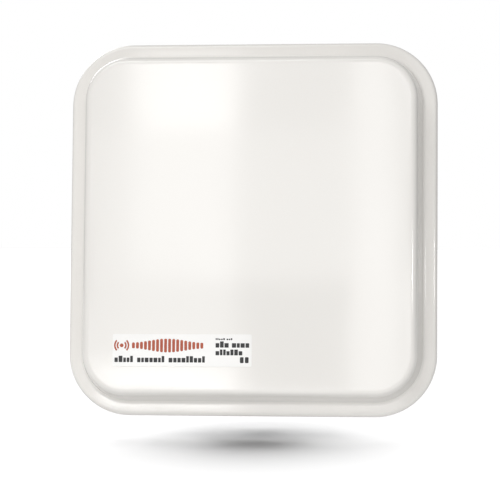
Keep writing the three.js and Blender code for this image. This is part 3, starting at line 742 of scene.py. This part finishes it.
def radome():
    outer, inner = radome_side(0), radome_side(SHELL)
    start = panel_ring(outer[0][0])
    rings = face_rings(start, outer[0][1])
    rings += [[ON_PANEL(u, v, d) for u, v in panel_ring(i)] for i, d in [*outer, *reversed(inner)]]
    rings += reversed(face_rings(panel_ring(inner[0][0]), inner[0][1], 4))
    made = thing("radome_shell", mesh_of("radome_shell", *skin(rings)))
    foot = depth_of(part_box("back_plate")[0].y) + GAP
    root = PANEL_DEPTH - SHELL / 2
    pilot = foot + PILOT_DEEP
    profile = [(0, pilot), (PILOT_RADIUS, pilot), (PILOT_RADIUS, foot + 0.4 * MM),
               (PILOT_RADIUS + 0.4 * MM, foot), (POST_RADIUS - 0.3 * MM, foot),
               (POST_RADIUS, foot + 0.3 * MM), (POST_RADIUS, root), (0, root)]
    posts = [standing("post", turned(profile, 32), *spot_of(node)) for node in COVER_SCREWS]
    combine(made, thing("posts", joined("posts", posts)), "UNION")
    face = PANEL_DEPTH - 0.01 * MM
    for vertex in made.data.vertices:
        x, y, z = vertex.co
        if depth_of(y) > face:
            vertex.co.y += ripple(x, z)
    dress(made, WHITE, "radome", angle=40)


# ---- label

LABEL_LO, LABEL_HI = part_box("front_label")
LABEL_FACE = 0.24 * MM  # the film's face above the radome's
INK = 0.02 * MM
SIGN_U = 6.2  # the sign's middle, in millimetres from the label's left side
LINE_V = 7.8  # the line that the sign and the bars share, from its top
BARS = 18


def printed(name, shapes, material):
    """Flat printed shapes on the label, each a closed outline in label coordinates."""
    blocks = []
    for outline in shapes:
        rings = [[ON_PANEL(LABEL_LO.x + u, LABEL_HI.z - v, PANEL_DEPTH + LABEL_FACE + w) for u, v in outline]
                 for w in (-INK, INK)]
        blocks.append(mesh_of(name, *skin(rings)))
    dress(thing(name, joined(name, blocks)), material)


def bar(left, top, width, height, corner=0.5):
    """A block on the label, in millimetres from its upper left corner."""
    corner = min(corner, width / 2.01, height / 2.01)
    u, v = left + width / 2, top + height / 2
    return box_outline(u * MM, v * MM, width * MM, height * MM, corner * MM, 4)


def words(left, top, height, widths, gap, letter, space):
    """Rows of small blocks that stand for words, letter by letter."""
    made = []
    for count in widths:
        for _ in range(count):
            wide = letter * random.choice((0.8, 1.0, 1.0, 1.15))
            tall = height * random.choice((0.72, 0.72, 1.0))
            made.append(bar(left, top + height - tall, wide, tall, 0.25))
            left += wide + gap
        left += space
    return made


def arc_band(u, v, radius, thick, start, end):
    """A curved stripe, as in a sign for radio waves."""
    outer = arc(u * MM, v * MM, (radius + thick / 2) * MM, start, end, 14)
    inner = arc(u * MM, v * MM, (radius - thick / 2) * MM, end, start, 14)
    return outer + inner


def label():
    width, height = LABEL_HI.x - LABEL_LO.x, LABEL_HI.z - LABEL_LO.z
    middle = (LABEL_LO + LABEL_HI) / 2
    film = sheet("label_film", box_outline(middle.x, middle.z, width, height, 1.2 * MM), [],
                 PANEL_DEPTH - 0.2 * MM, PANEL_DEPTH + LABEL_FACE, ON_PANEL, 0.05 * MM)
    dress(film, VINYL, "front_label")
    sign = [circle(SIGN_U * MM, LINE_V * MM, 1.3 * MM, 24)]
    sign += [arc_band(SIGN_U, LINE_V, radius, 1.1, start, start + 90)
             for radius in (2.9, 4.7) for start in (-45, 135)]
    for i in range(BARS):
        tall = 4.0 + 5.4 * sin(pi * (i + 0.5) / BARS) ** 2
        sign.append(bar(13.3 + 2.75 * i, LINE_V - tall / 2, 1.95, tall, 0.8))
    printed("label_sign", sign, RED_INK)
    lines = words(1.4, 14.9, 4.3, (5, 7, 9), 0.55, 2.28, 2.4)
    lines += words(70.4, 2.6, 1.3, (5, 3), 0.35, 1.0, 0.8)
    lines += words(70.4, 4.8, 4.2, (3, 4), 0.5, 2.5, 1.7)
    lines += words(70.4, 10.3, 3.9, (7,), 0.5, 2.15, 1.6)
    lines += [bar(left, 15.4, 2.5, 4.0, 0.6) for left in (87.0, 90.4)]
    printed("label_lines", lines, BLACK_INK)


# ---- rear plate, seal and what closes the panel

def nodes_like(stem):
    """The CAD nodes with a numbered name."""
    return sorted(n for n in frame["nodes"] if n.startswith(stem + "_") and n[len(stem) + 1:].isdigit())


STUDS = nodes_like("stud")
STANDOFFS = nodes_like("patch_standoff")
COVER_SCREWS = nodes_like("cover_screw")
SOCKET_SCREWS = nodes_like("socket_screw")
STANDOFF_NECK = 2.2 * MM
SOCKET_AT = spot_of("socket_body")
SOCKET_CLEAR = 5.9 * MM
SOCKET_SCREW_HOLE = 1.9 * MM
SOCKET_PITCH = 1.058 * MM  # 24 threads to the inch


def span(node):
    """The depths between which a node lies, rear first."""
    lo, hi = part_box(node)
    return depth_of(hi.y), depth_of(lo.y)


def rear_plate():
    holes = [
        circle(*spot_of(node), radius, steps)
        for nodes, radius, steps in (
            (COVER_SCREWS, 1.65 * MM, 32),
            (STUDS, ROD_RADIUS + ROOM, 32),
            (STANDOFFS, STANDOFF_NECK + ROOM, 32),
            (SOCKET_SCREWS, SOCKET_SCREW_HOLE, 24),
            (["socket_body"], SOCKET_CLEAR, 40),
            (["vent_plug"], 4.4 * MM, 32),
        )
        for node in nodes
    ]
    holes.append(circle(0, 0, 2.4 * MM, 24))
    edge = panel_ring(HALF_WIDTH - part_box("back_plate")[1].x, 20, 1)
    made = sheet("rear_plate", edge, holes, *span("back_plate"), ON_PANEL, 0.25 * MM)
    dress(made, ALUMINIUM, "back_plate")


def seal():
    rear, front = span("perimeter_seal")
    out = HALF_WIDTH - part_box("perimeter_seal")[1].x
    wide = 4.9 * MM
    section = box_outline(out + wide / 2, (rear + front) / 2, wide, front - rear, 1.2 * MM, 4)
    rings = [[ON_PANEL(u, v, d) for u, v in panel_ring(i, 16, 1)] for i, d in section]
    made = thing("seal_ring", mesh_of("seal_ring", *skin(rings, closed=True)))
    dress(made, RUBBER, "perimeter_seal")


def cross_recess(radius, deep):
    """The cutter for a cross slot in a screw head, about +Z and going down from 0."""
    arms = []
    for turn in (0, 90):
        spin = Matrix.Rotation(radians(turn), 2)
        rings = []
        for w, scale in ((-deep, 0.55), (deep, 1.0)):
            ring = box_outline(0, 0, 2 * radius * 0.62 * scale, radius * 0.3)
            rings.append([Vector((*(spin @ Vector(p)), w)) for p in ring])
        arms.append(thing("arm", mesh_of("arm", *skin(rings))))
    return combine(*arms, "UNION")


def screw_mesh(name, radius, head, tall, long, pitch):
    """A pan-headed cross screw. Its head's seat is at 0 and its shank points along +Z."""
    dome = [(head * sin(radians(a)), -tall * (0.35 + 0.65 * cos(radians(a)))) for a in range(12, 91, 13)]
    profile = [(0, -tall), *dome, (head, -0.25 * tall), (head, -0.08 * tall), (head * 0.95, 0), (radius, 0),
               (radius, long - 2 * radius), (radius * 0.15, long), (0, long)]
    made = lathe(name, profile, 40, (0.6 * MM, long - 2.2 * radius, pitch))
    recess = cross_recess(head, tall * 0.55)
    recess.location.z = -tall
    recess.rotation_euler.x = pi
    bpy.context.view_layer.update()
    return taken(combine(made, recess, "DIFFERENCE"))


def place(matrix, x, y, z, spin=0.0):
    """Where a turned piece stands: at a point, along an axis, turned about it."""
    return Matrix.Translation((x, y, z)) @ matrix @ Matrix.Rotation(spin, 4, "Z")


def screws():
    for nodes, radius, head, tall, pitch in (
        (COVER_SCREWS, 1.25 * MM, 3.2 * MM, 2.2 * MM, 0.9 * MM),
        (SOCKET_SCREWS, 1.5 * MM, 2.8 * MM, 2.0 * MM, 0.5 * MM),
    ):
        rear, front = span(nodes[0])
        mesh = screw_mesh("pan_screw", radius, head, tall, front - rear - tall, pitch)
        for node in nodes:
            x, z = spot_of(node)
            where = place(FORWARD, x, REAR_Y - rear - tall, z, random.uniform(0, pi))
            copy_of(mesh, node + "_pan", where, node)


def vent():
    """The vent's cap, with grip flutes round its rim, and its stem."""
    rear, front = span("vent_plug")
    lo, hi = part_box("vent_plug")
    cap = (hi.x - lo.x) / 2
    seat = rear + 3 * MM
    stem = 4 * MM
    face = mm([(0, 0.9), (2.2, 0.9), (2.4, 0.2), (2.7, 0), (4.3, 0), (4.8, 0.3)])
    profile = [(radius, rear + deep) for radius, deep in face]
    profile += [(cap, seat - 1.4 * MM), (cap, seat - 0.2 * MM), (cap - 0.2 * MM, seat), (stem, seat),
                (stem, front - 0.8 * MM), (stem - 0.8 * MM, front), (0, front)]
    rings = turned(profile, 60)
    for ring, (radius, _) in zip(rings, profile):
        if radius > 4.5 * MM:
            for point in ring[::5] + ring[1::5]:
                point.x *= 0.93
                point.y *= 0.93
    dress(thing("vent_cap", standing("vent_cap", rings, *spot_of("vent_plug"))), VENT, "vent_plug")


# ---- shared turning helpers

def turned_piece(name, profile, x, z, material, *nodes, closed=False):
    """A piece turned about the depth axis at (x, z), from (radius, depth) points in millimetres."""
    made = lathe(name, mm(profile), closed=closed)
    made.data.transform(place(FORWARD, x, REAR_Y, z))
    return dress(made, material, *nodes)


def slit(obj, width, length, low, high, turns=(0,)):
    """Saws slits across a turned piece that still stands on its own axis, from one height to another."""
    for turn in turns:
        outline = box_outline(0, 0, width, length)
        cutter = prism("saw", outline, low, high, FROM_TOP)
        cutter.rotation_euler.z = radians(turn)
        bpy.context.view_layer.update()
        combine(obj, cutter, "DIFFERENCE")
    return obj


# ---- patch and feed

def patch():
    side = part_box("radiating_patch")[1].x
    trim = side - 24 * MM
    outline = [(-side, -side), (trim, -side), (side, -trim), (side, side), (-trim, side), (-side, trim)]
    holes = [circle(*spot_of(n), STANDOFF_NECK + ROOM, 32) for n in STANDOFFS]
    holes += [circle(*spot_of("feed_probe"), 1.9 * MM, 24), circle(0, 0, 1.9 * MM, 24)]
    made = sheet("patch_plate", outline, holes, *span("radiating_patch"), ON_PANEL, 0.15 * MM)
    dress(made, ALUMINIUM, "radiating_patch")


def standoffs():
    profile = mm([
        (0, -0.6), (1.4, -0.6), (2.2, 0), (2.2, 3.2), (3.7, 3.2), (4, 3.5), (4, 14.5), (3.7, 14.8),
        (2.2, 14.8), (2.2, 16.2), (3.1, 16.2), (3.2, 16.45), (1.45, 18.5), (1.1, 18.6), (0, 18.6),
    ])
    mesh = taken(slit(lathe("standoff", profile), 0.8 * MM, 8 * MM, 15.4 * MM, 20 * MM))
    for node in STANDOFFS:
        x, z = spot_of(node)
        where = place(FORWARD, x, REAR_Y, z, pi / 4 * (1 if x * z > 0 else 3))
        copy_of(mesh, node + "_spacer", where, node, material=NYLON)


def hexagon(flats):
    """A regular hexagon with a given half width across its flats."""
    return circle(0, 0, flats / cos(pi / 6), 6)


POST_SEAT = 16.2  # where the patch's screw sits, in millimetres


def centre_post():
    corner = 4.0
    flats = corner * cos(pi / 6) * MM
    barrel = prism("post", hexagon(flats), 3.2 * MM, 14.8 * MM, FROM_TOP)
    chamfer = [(0, 3.2), (3.5, 3.2), (corner + 0.1, 3.6), (corner + 0.1, 14.4), (3.5, 14.8), (0, 14.8)]
    stub = [(0, 1), (1.7, 1), (2, 1.3), (2, 5), (0, 5)]
    bore = [(0, 9), (1.7, 9), (1.7, 14.4), (2.3, 15), (2.3, 16), (0, 16)]
    for profile, operation in ((chamfer, "INTERSECT"), (stub, "UNION"), (bore, "DIFFERENCE")):
        combine(barrel, lathe("cutter", mm(profile)), operation)
    barrel.data.transform(place(FORWARD, 0, REAR_Y, 0))
    barrel.name = "patch_post"
    dress(barrel, BRASS, "centre_post")
    rear, front = span("centre_screw")
    seat = POST_SEAT * MM
    mesh = screw_mesh("patch_screw", 1.5 * MM, 3 * MM, front - seat, seat - rear, 0.5 * MM)
    copy_of(mesh, "patch_screw", place(BACKWARD, 0, REAR_Y - seat, 0, 0.4), "centre_screw")


def feed():
    x0, z0 = SOCKET_AT
    x1, z1 = spot_of("feed_probe")
    w = 3 * MM
    outline = [(x0 - w, z0 - w), (x1, z0 - w), (x1 + w, z0), (x1 + w, z1 + w), (x1 - w, z1 + w),
               (x1 - w, z0 + w), (x0 - w, z0 + w)]
    holes = [circle(x0, z0, 1.3 * MM, 24), circle(x1, z1, 1.7 * MM, 24)]
    strip = sheet("feed_line", outline, holes, *span("feed_strip"), ON_PANEL, 0.1 * MM)
    dress(strip, BRASS, "feed_strip")
    turned_piece("feed_pin", [
        (0, 5), (1.1, 5), (1.3, 5.2), (1.3, 7), (2.1, 7), (2.4, 7.3), (2.4, 14.5), (2.1, 14.8), (1.5, 14.8),
        (1.5, 16.7), (1.2, 17), (0, 17),
    ], x1, z1, BRASS, "feed_probe")


# ---- coaxial socket

def socket():
    x, z = SOCKET_AT
    lo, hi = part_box("socket_seal")
    side = hi.x - lo.x
    holes = [circle(*spot_of(n), SOCKET_SCREW_HOLE, 32) for n in SOCKET_SCREWS]
    flange = sheet("socket_shell", box_outline(x, z, side, side, 1.2 * MM), [*holes, circle(x, z, 5 * MM)],
                   -3 * MM, -0.2 * MM, ON_PANEL, 0.2 * MM)
    profile = mm([
        (7.1, -18.2), (7.9, -17.4), (7.9, -4.7), (7.2, -4.1), (7.2, -0.7), (3.5, -0.7), (3.5, -8.2),
        (4.2, -8.2), (4.2, -17.8), (4.6, -18.2),
    ])
    barrel = lathe("barrel", profile, 64, (-17.3 * MM, -4.9 * MM, SOCKET_PITCH), closed=True)
    barrel.data.transform(place(FORWARD, x, REAR_Y, z))
    dress(combine(flange, barrel, "UNION"), NICKEL, "socket_body")
    holes.append(circle(x, z, SOCKET_CLEAR))
    gasket = sheet("socket_gasket", box_outline(x, z, side, side, 1.4 * MM), holes,
                   *span("socket_seal"), ON_PANEL, 0.15 * MM)
    dress(gasket, RUBBER, "socket_seal")
    turned_piece("socket_bush", [
        (1.7, -7.7), (1.9, -7.7), (3.1, -7.7), (3.3, -7.5), (3.3, 3.2), (3.1, 3.4), (1.7, 3.4),
    ], x, z, PTFE, "socket_insulator", closed=True)
    cup = mm([
        (0, -10.2), (0.9, -10.2), (0.9, -12.9), (1.15, -13.2), (1.35, -13.2), (1.5, -13), (1.5, 5.8),
        (0.9, 5.8), (0.9, 7.8), (0.7, 8), (0, 8),
    ])
    pin = slit(lathe("socket_pin", cup, 40), 0.3 * MM, 4 * MM, -14 * MM, -9.6 * MM, (0, 90))
    pin.data.transform(place(FORWARD, x, REAR_Y, z))
    dress(pin, BRASS, "socket_contact")


# ---- fasteners of the bracket

def nut_mesh(thread):
    """A hexagon flange nut along +Z from 0, with its flange at 0."""
    flats, tall, flange = 1.65 * thread, 2 * thread, 2.2 * thread
    made = prism("nut", hexagon(flats), 0.2 * tall, tall, FROM_TOP)
    wide = flats / cos(pi / 6) + MM
    drop = (wide - 0.96 * flats) * tan(radians(28))
    cone = [(0, 0), (wide, 0), (wide, tall - drop), (0.96 * flats, tall), (0, tall)]
    skirt = [(0, 0), (flange - 0.25 * MM, 0), (flange, 0.25 * MM), (flange, 0.13 * tall),
             (flange - 0.3 * MM, 0.13 * tall + 0.25 * MM), (flats * 1.04, 0.36 * tall), (0, 0.37 * tall)]
    clear = thread + 0.15 * MM
    mouth = clear + 1.3 * MM
    bore = [(0, -MM), (mouth, -MM), (clear, 0.3 * MM), (clear, tall - 0.3 * MM), (mouth, tall + MM),
            (0, tall + MM)]
    cuts = ((cone, 72, "INTERSECT"), (skirt, 72, "UNION"), (bore, 48, "DIFFERENCE"))
    for profile, steps, operation in cuts:
        combine(made, lathe("cutter", profile, steps), operation)
    return taken(soften(made, 0.12 * MM, 2, 28))


def rod_tip(radius, long):
    """The last of a threaded rod's profile, with its end chamfered."""
    return [(radius, long - 0.9 * MM), (radius - 0.8 * MM, long), (0, long)]


def studs_and_nuts():
    rear, front = span(STUDS[0])
    head = 4.6 * MM
    seat = front - 1.2 * MM
    top = seat - front
    profile = [(0, top), (head - 0.3 * MM, top), (head, top + 0.3 * MM), (head, 0), (ROD_RADIUS, 0),
               *rod_tip(ROD_RADIUS, seat - rear)]
    stud = taken(lathe("stud", profile, 40, (2.4 * MM, seat - rear - MM, THREAD_PITCH[ROD_RADIUS])))
    for i, node in enumerate(STUDS):
        x, z = spot_of(node)
        copy_of(stud, node + "_pressed", place(BACKWARD, x, REAR_Y - seat, z, i), node)
    nut = nut_mesh(ROD_RADIUS)
    on_studs = nodes_like("stud_nut")
    on_legs = sorted(n for n in frame["nodes"] if n.startswith("u_bolt_nut_"))
    for nodes, axis, end, body in ((on_studs, BACKWARD, 0, PANEL), (on_legs, FORWARD, 1, CLAMP)):
        for node in nodes:
            x, z = spot_of(node)
            where = place(axis, x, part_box(node)[end].y, z, random.uniform(0, 1))
            copy_of(nut, node + "_hex", where, node, body=body)


def carriage_bolt():
    """A round-headed bolt with a square neck. Its head's seat is at 0 and it points along +Z."""
    lo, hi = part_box("pivot_bolt_right")
    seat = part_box("mast_bracket")[1].x - PLATE
    head, tall, long = (hi.z - lo.z) / 2, seat - lo.x, hi.x - seat
    dome = [(head * sin(radians(a)), -tall * cos(radians(a))) for a in range(0, 85, 7)]
    profile = [*dome, (head, -0.08 * tall), (head - 0.3 * MM, 0), (BOLT_RADIUS, 0),
               *rod_tip(BOLT_RADIUS, long)]
    made = lathe("bolt", profile, 48, (6.6 * MM, long - MM, THREAD_PITCH[BOLT_RADIUS]))
    neck = prism("neck", box_outline(0, 0, 7.8 * MM, 7.8 * MM, 0.5 * MM, 3), -0.3 * MM, PLATE, FROM_TOP)
    return taken(combine(made, neck, "UNION"))


def pivot_hardware():
    bolt = carriage_bolt()
    nut = nut_mesh(BOLT_RADIUS)
    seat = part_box("mast_bracket")[1].x - PLATE
    for kind in ("pivot", "lock"):
        for side, axis, sign in (("right", TO_RIGHT, 1), ("left", TO_LEFT, -1)):
            name = f"{kind}_bolt_{side}"
            middle = centre_of(name)
            copy_of(bolt, name + "_carriage", place(axis, sign * seat, middle.y, middle.z), name, body=CLAMP)
            name = f"{kind}_nut_{side}"
            lo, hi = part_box(name)
            where = place(axis, sign * min(abs(lo.x), abs(hi.x)), middle.y, middle.z, random.uniform(0, 1))
            copy_of(nut, name + "_hex", where, name, body=CLAMP)


LEG_THREAD = 30 * MM


def u_bolt(which):
    """A bent rod round the mast with two threaded legs."""
    node = "u_bolt_" + which
    lo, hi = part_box(node)
    leg = hi.x - ROD_RADIUS
    bend_y = hi.y - ROD_RADIUS - leg
    height = (lo.z + hi.z) / 2
    pitch = THREAD_PITCH[ROD_RADIUS]
    start, end = lo.y + 0.95 * MM, lo.y + LEG_THREAD + 2 * MM
    steps = round(LEG_THREAD / pitch * THREAD_STEPS)
    half = [(leg, lo.y, 0.0, -0.8 * MM), (leg, lo.y + 0.9 * MM, 0.0, 0.0)]
    for i in range(steps + 1):
        fade = min(1, i / THREAD_STEPS, (steps - i) / THREAD_STEPS)
        half.append((leg, start + LEG_THREAD * i / steps, 0.0, fade))
    half += [(leg, bend_y * t + end * (1 - t), 0.0, 0.0) for t in (0, 0.5)]
    bend = [(leg * cos(a), bend_y + leg * sin(a), a, 0.0) for a in (pi * i / 48 for i in range(49))]
    other = [(-x, y, pi, cut) for x, y, _, cut in reversed(half)]
    up = Vector((0, 0, 1))
    rings = []
    for x, y, angle, cut in half + bend + other:
        out = Vector((cos(angle), sin(angle), 0))
        ring = []
        for j in range(32):
            turn = 2 * pi * j / 32
            deep = -cut if cut < 0 else THREAD_DEEP * pitch * cut * wave(y / pitch - j / 32)
            ring.append(Vector((x, y, height)) + (ROD_RADIUS - deep) * (cos(turn) * out + sin(turn) * up))
        rings.append(ring)
    dress(thing(f"mast_{node}", mesh_of(node, *skin(rings))), ZINC, node, body=node)


# ---- bent brackets

EAR_RADIUS = 13 * MM
SLOT_RIM = 11 * MM
EAR_LIP = 12 * MM
SLOT_HALF = BOLT_RADIUS + 0.5 * MM
MAST_WEB_REAR = -34 * MM
FLANGE_REACH = -8 * MM
TEETH = 7
TOOTH_BITE = 0.8 * MM
WIDE = 0.1  # longer than any piece, for cutters that pass right through
EDGE = 0.35 * MM


def channel(half, web, tip):
    """A bent channel's section: a web and two ears."""
    sign = 1 if tip > web else -1
    inner, inner_web, bend = half - PLATE, web + sign * PLATE, BEND_RADIUS - PLATE
    turn = 90 * sign
    return [
        (half, tip),
        *arc(half - BEND_RADIUS, web + sign * BEND_RADIUS, BEND_RADIUS, 0, -turn, 8),
        *arc(BEND_RADIUS - half, web + sign * BEND_RADIUS, BEND_RADIUS, 180 + turn, 180, 8),
        (-half, tip),
        (-inner, tip),
        *arc(bend - inner, inner_web + sign * bend, bend, 180, 180 + turn, 6),
        *arc(inner - bend, inner_web + sign * bend, bend, -turn, 0, 6),
        (inner, tip),
    ]


def about_pivot(radius, tilt):
    """A point (y, z) at a radius from the pivot, turned from straight up towards the mast."""
    angle = radians(tilt)
    return PIVOT_Y + radius * sin(angle), PIVOT_Z + radius * cos(angle)


def sweep(radius, start, end, steps=14):
    """Points round the pivot at one radius."""
    return [about_pivot(radius, start + (end - start) * i / steps) for i in range(steps + 1)]


def lock_slot():
    """The curved slot that the lock bolts run in."""
    def end(tilt, start):
        return arc(*about_pivot(LOCK_ARM, tilt), SLOT_HALF, start - tilt, start - tilt - 180, 12)
    return [
        *sweep(LOCK_ARM + SLOT_HALF, 5 - TILT_UP, TILT_DOWN - 5),
        *end(TILT_DOWN + 0.6, 90),
        *sweep(LOCK_ARM - SLOT_HALF, TILT_DOWN - 5, 5 - TILT_UP),
        *end(-TILT_UP - 0.6, 270),
    ]


def degree_marks(face):
    """Stamped marks every 5 degrees beside the slot, in both ears."""
    inner = LOCK_ARM + SLOT_HALF + MM
    width = degrees(0.25 * MM / LOCK_ARM)
    marks = []
    for tilt in range(-TILT_UP, TILT_DOWN + 1, 5):
        outer = inner + (4.2 * MM if tilt % 15 == 0 else 2.4 * MM)
        corners = ((inner, -width), (inner, width), (outer, width), (outer, -width))
        outline = [about_pivot(radius, tilt + w) for radius, w in corners]
        for sign in (-1, 1):
            rings = [[FROM_SIDE(u, v, sign * w) for u, v in outline] for w in (face - 0.25 * MM, face + MM)]
            marks.append(mesh_of("mark", *skin(rings)))
    return thing("marks", joined("marks", marks))


def pierce(obj, outline, way, reach=WIDE):
    """Cuts an outline right through an object."""
    return combine(obj, prism("hole", outline, -reach, reach, way), "DIFFERENCE")


def tilt_bracket():
    lo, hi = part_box("tilt_bracket")
    web, top = lo.y, hi.z
    made = prism("tilting_bracket", channel(hi.x, web, 0), -top, top, FROM_TOP)
    slot_end = about_pivot(LOCK_ARM, TILT_DOWN)
    side = [
        (web - MM, -top), (web + EAR_LIP, -top),
        *arc(PIVOT_Y, PIVOT_Z, EAR_RADIUS, -135, -30, 14),
        *arc(*slot_end, SLOT_RIM, -30, 90 - TILT_DOWN, 12),
        *sweep(LOCK_ARM + SLOT_RIM, TILT_DOWN - 5, -TILT_UP - 7),
        (web + EAR_LIP, top), (web - MM, top),
    ]
    combine(made, prism("side", side, -WIDE, WIDE, FROM_SIDE), "INTERSECT")
    pierce(made, circle(PIVOT_Y, PIVOT_Z, BOLT_RADIUS + ROOM, 40), FROM_SIDE)
    pierce(made, lock_slot(), FROM_SIDE)
    for node in STUDS:
        pierce(made, circle(*spot_of(node), ROD_RADIUS + ROOM, 32), ON_PANEL, 20 * MM)
    soften(made, EDGE)
    combine(made, degree_marks(hi.x), "DIFFERENCE")
    dress(made, GALVANISED, "tilt_bracket")


def toothed_v():
    """The toothed V that bites the mast."""
    apex = -MAST_RADIUS * sqrt(2)
    reach = FLANGE_REACH - apex
    pitch = reach / TEETH
    edge = []
    for i in range(TEETH):
        valley = (i + 0.5) * pitch
        edge += [(i * pitch, apex + i * pitch), (valley + TOOTH_BITE, apex + valley - TOOTH_BITE)]
    edge += [(reach, FLANGE_REACH), (reach, FLANGE_REACH + MM)]
    return [(-x, y) for x, y in reversed(edge[1:])] + edge


def mast_bracket():
    lo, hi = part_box("mast_bracket")
    ear, top = hi.x, hi.z
    web_front = MAST_WEB_REAR - PLATE
    root = top - BEND_RADIUS
    made = prism("mast_bracket_plate", channel(ear, MAST_WEB_REAR, lo.y), -top, top, FROM_TOP)
    side = [
        (MAST_WEB_REAR + MM, -root), (MAST_WEB_REAR + MM, root), (web_front - 2 * MM, root),
        *arc(PIVOT_Y, PIVOT_Z + LOCK_ARM, EAR_RADIUS, 70, 180, 12),
        *arc(PIVOT_Y, PIVOT_Z, EAR_RADIUS, 180, 290, 12),
        (web_front - 2 * MM, -root),
    ]
    combine(made, prism("side", side, -WIDE, WIDE, FROM_SIDE), "INTERSECT")
    reach = ear - BEND_RADIUS
    flanges = prism("flanges", channel(top, web_front, FLANGE_REACH), -reach, reach, UP_AHEAD)
    combine(made, flanges, "UNION")
    pierce(made, toothed_v(), FROM_TOP)
    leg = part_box("u_bolt_upper")[1].x - ROD_RADIUS
    height = centre_of("u_bolt_upper").z
    for x, z in ((-leg, -height), (-leg, height), (leg, -height), (leg, height)):
        outline = circle(x, z, ROD_RADIUS + ROOM, 32)
        hole = prism("hole", outline, web_front - MM, MAST_WEB_REAR + MM, FROM_REAR)
        combine(made, hole, "DIFFERENCE")
    neck = 2 * (BOLT_RADIUS + 0.2 * MM)
    for z in (PIVOT_Z, PIVOT_Z + LOCK_ARM):
        pierce(made, box_outline(PIVOT_Y, z, neck, neck), FROM_SIDE)
    soften(made, EDGE)
    dress(made, GALVANISED, "mast_bracket", body=CLAMP)


camera()
radome()
label()
rear_plate()
seal()
screws()
vent()
patch()
standoffs()
centre_post()
feed()
socket()
studs_and_nuts()
pivot_hardware()
u_bolt("upper")
u_bolt("lower")
tilt_bracket()
mast_bracket()
world()
lights(floor())
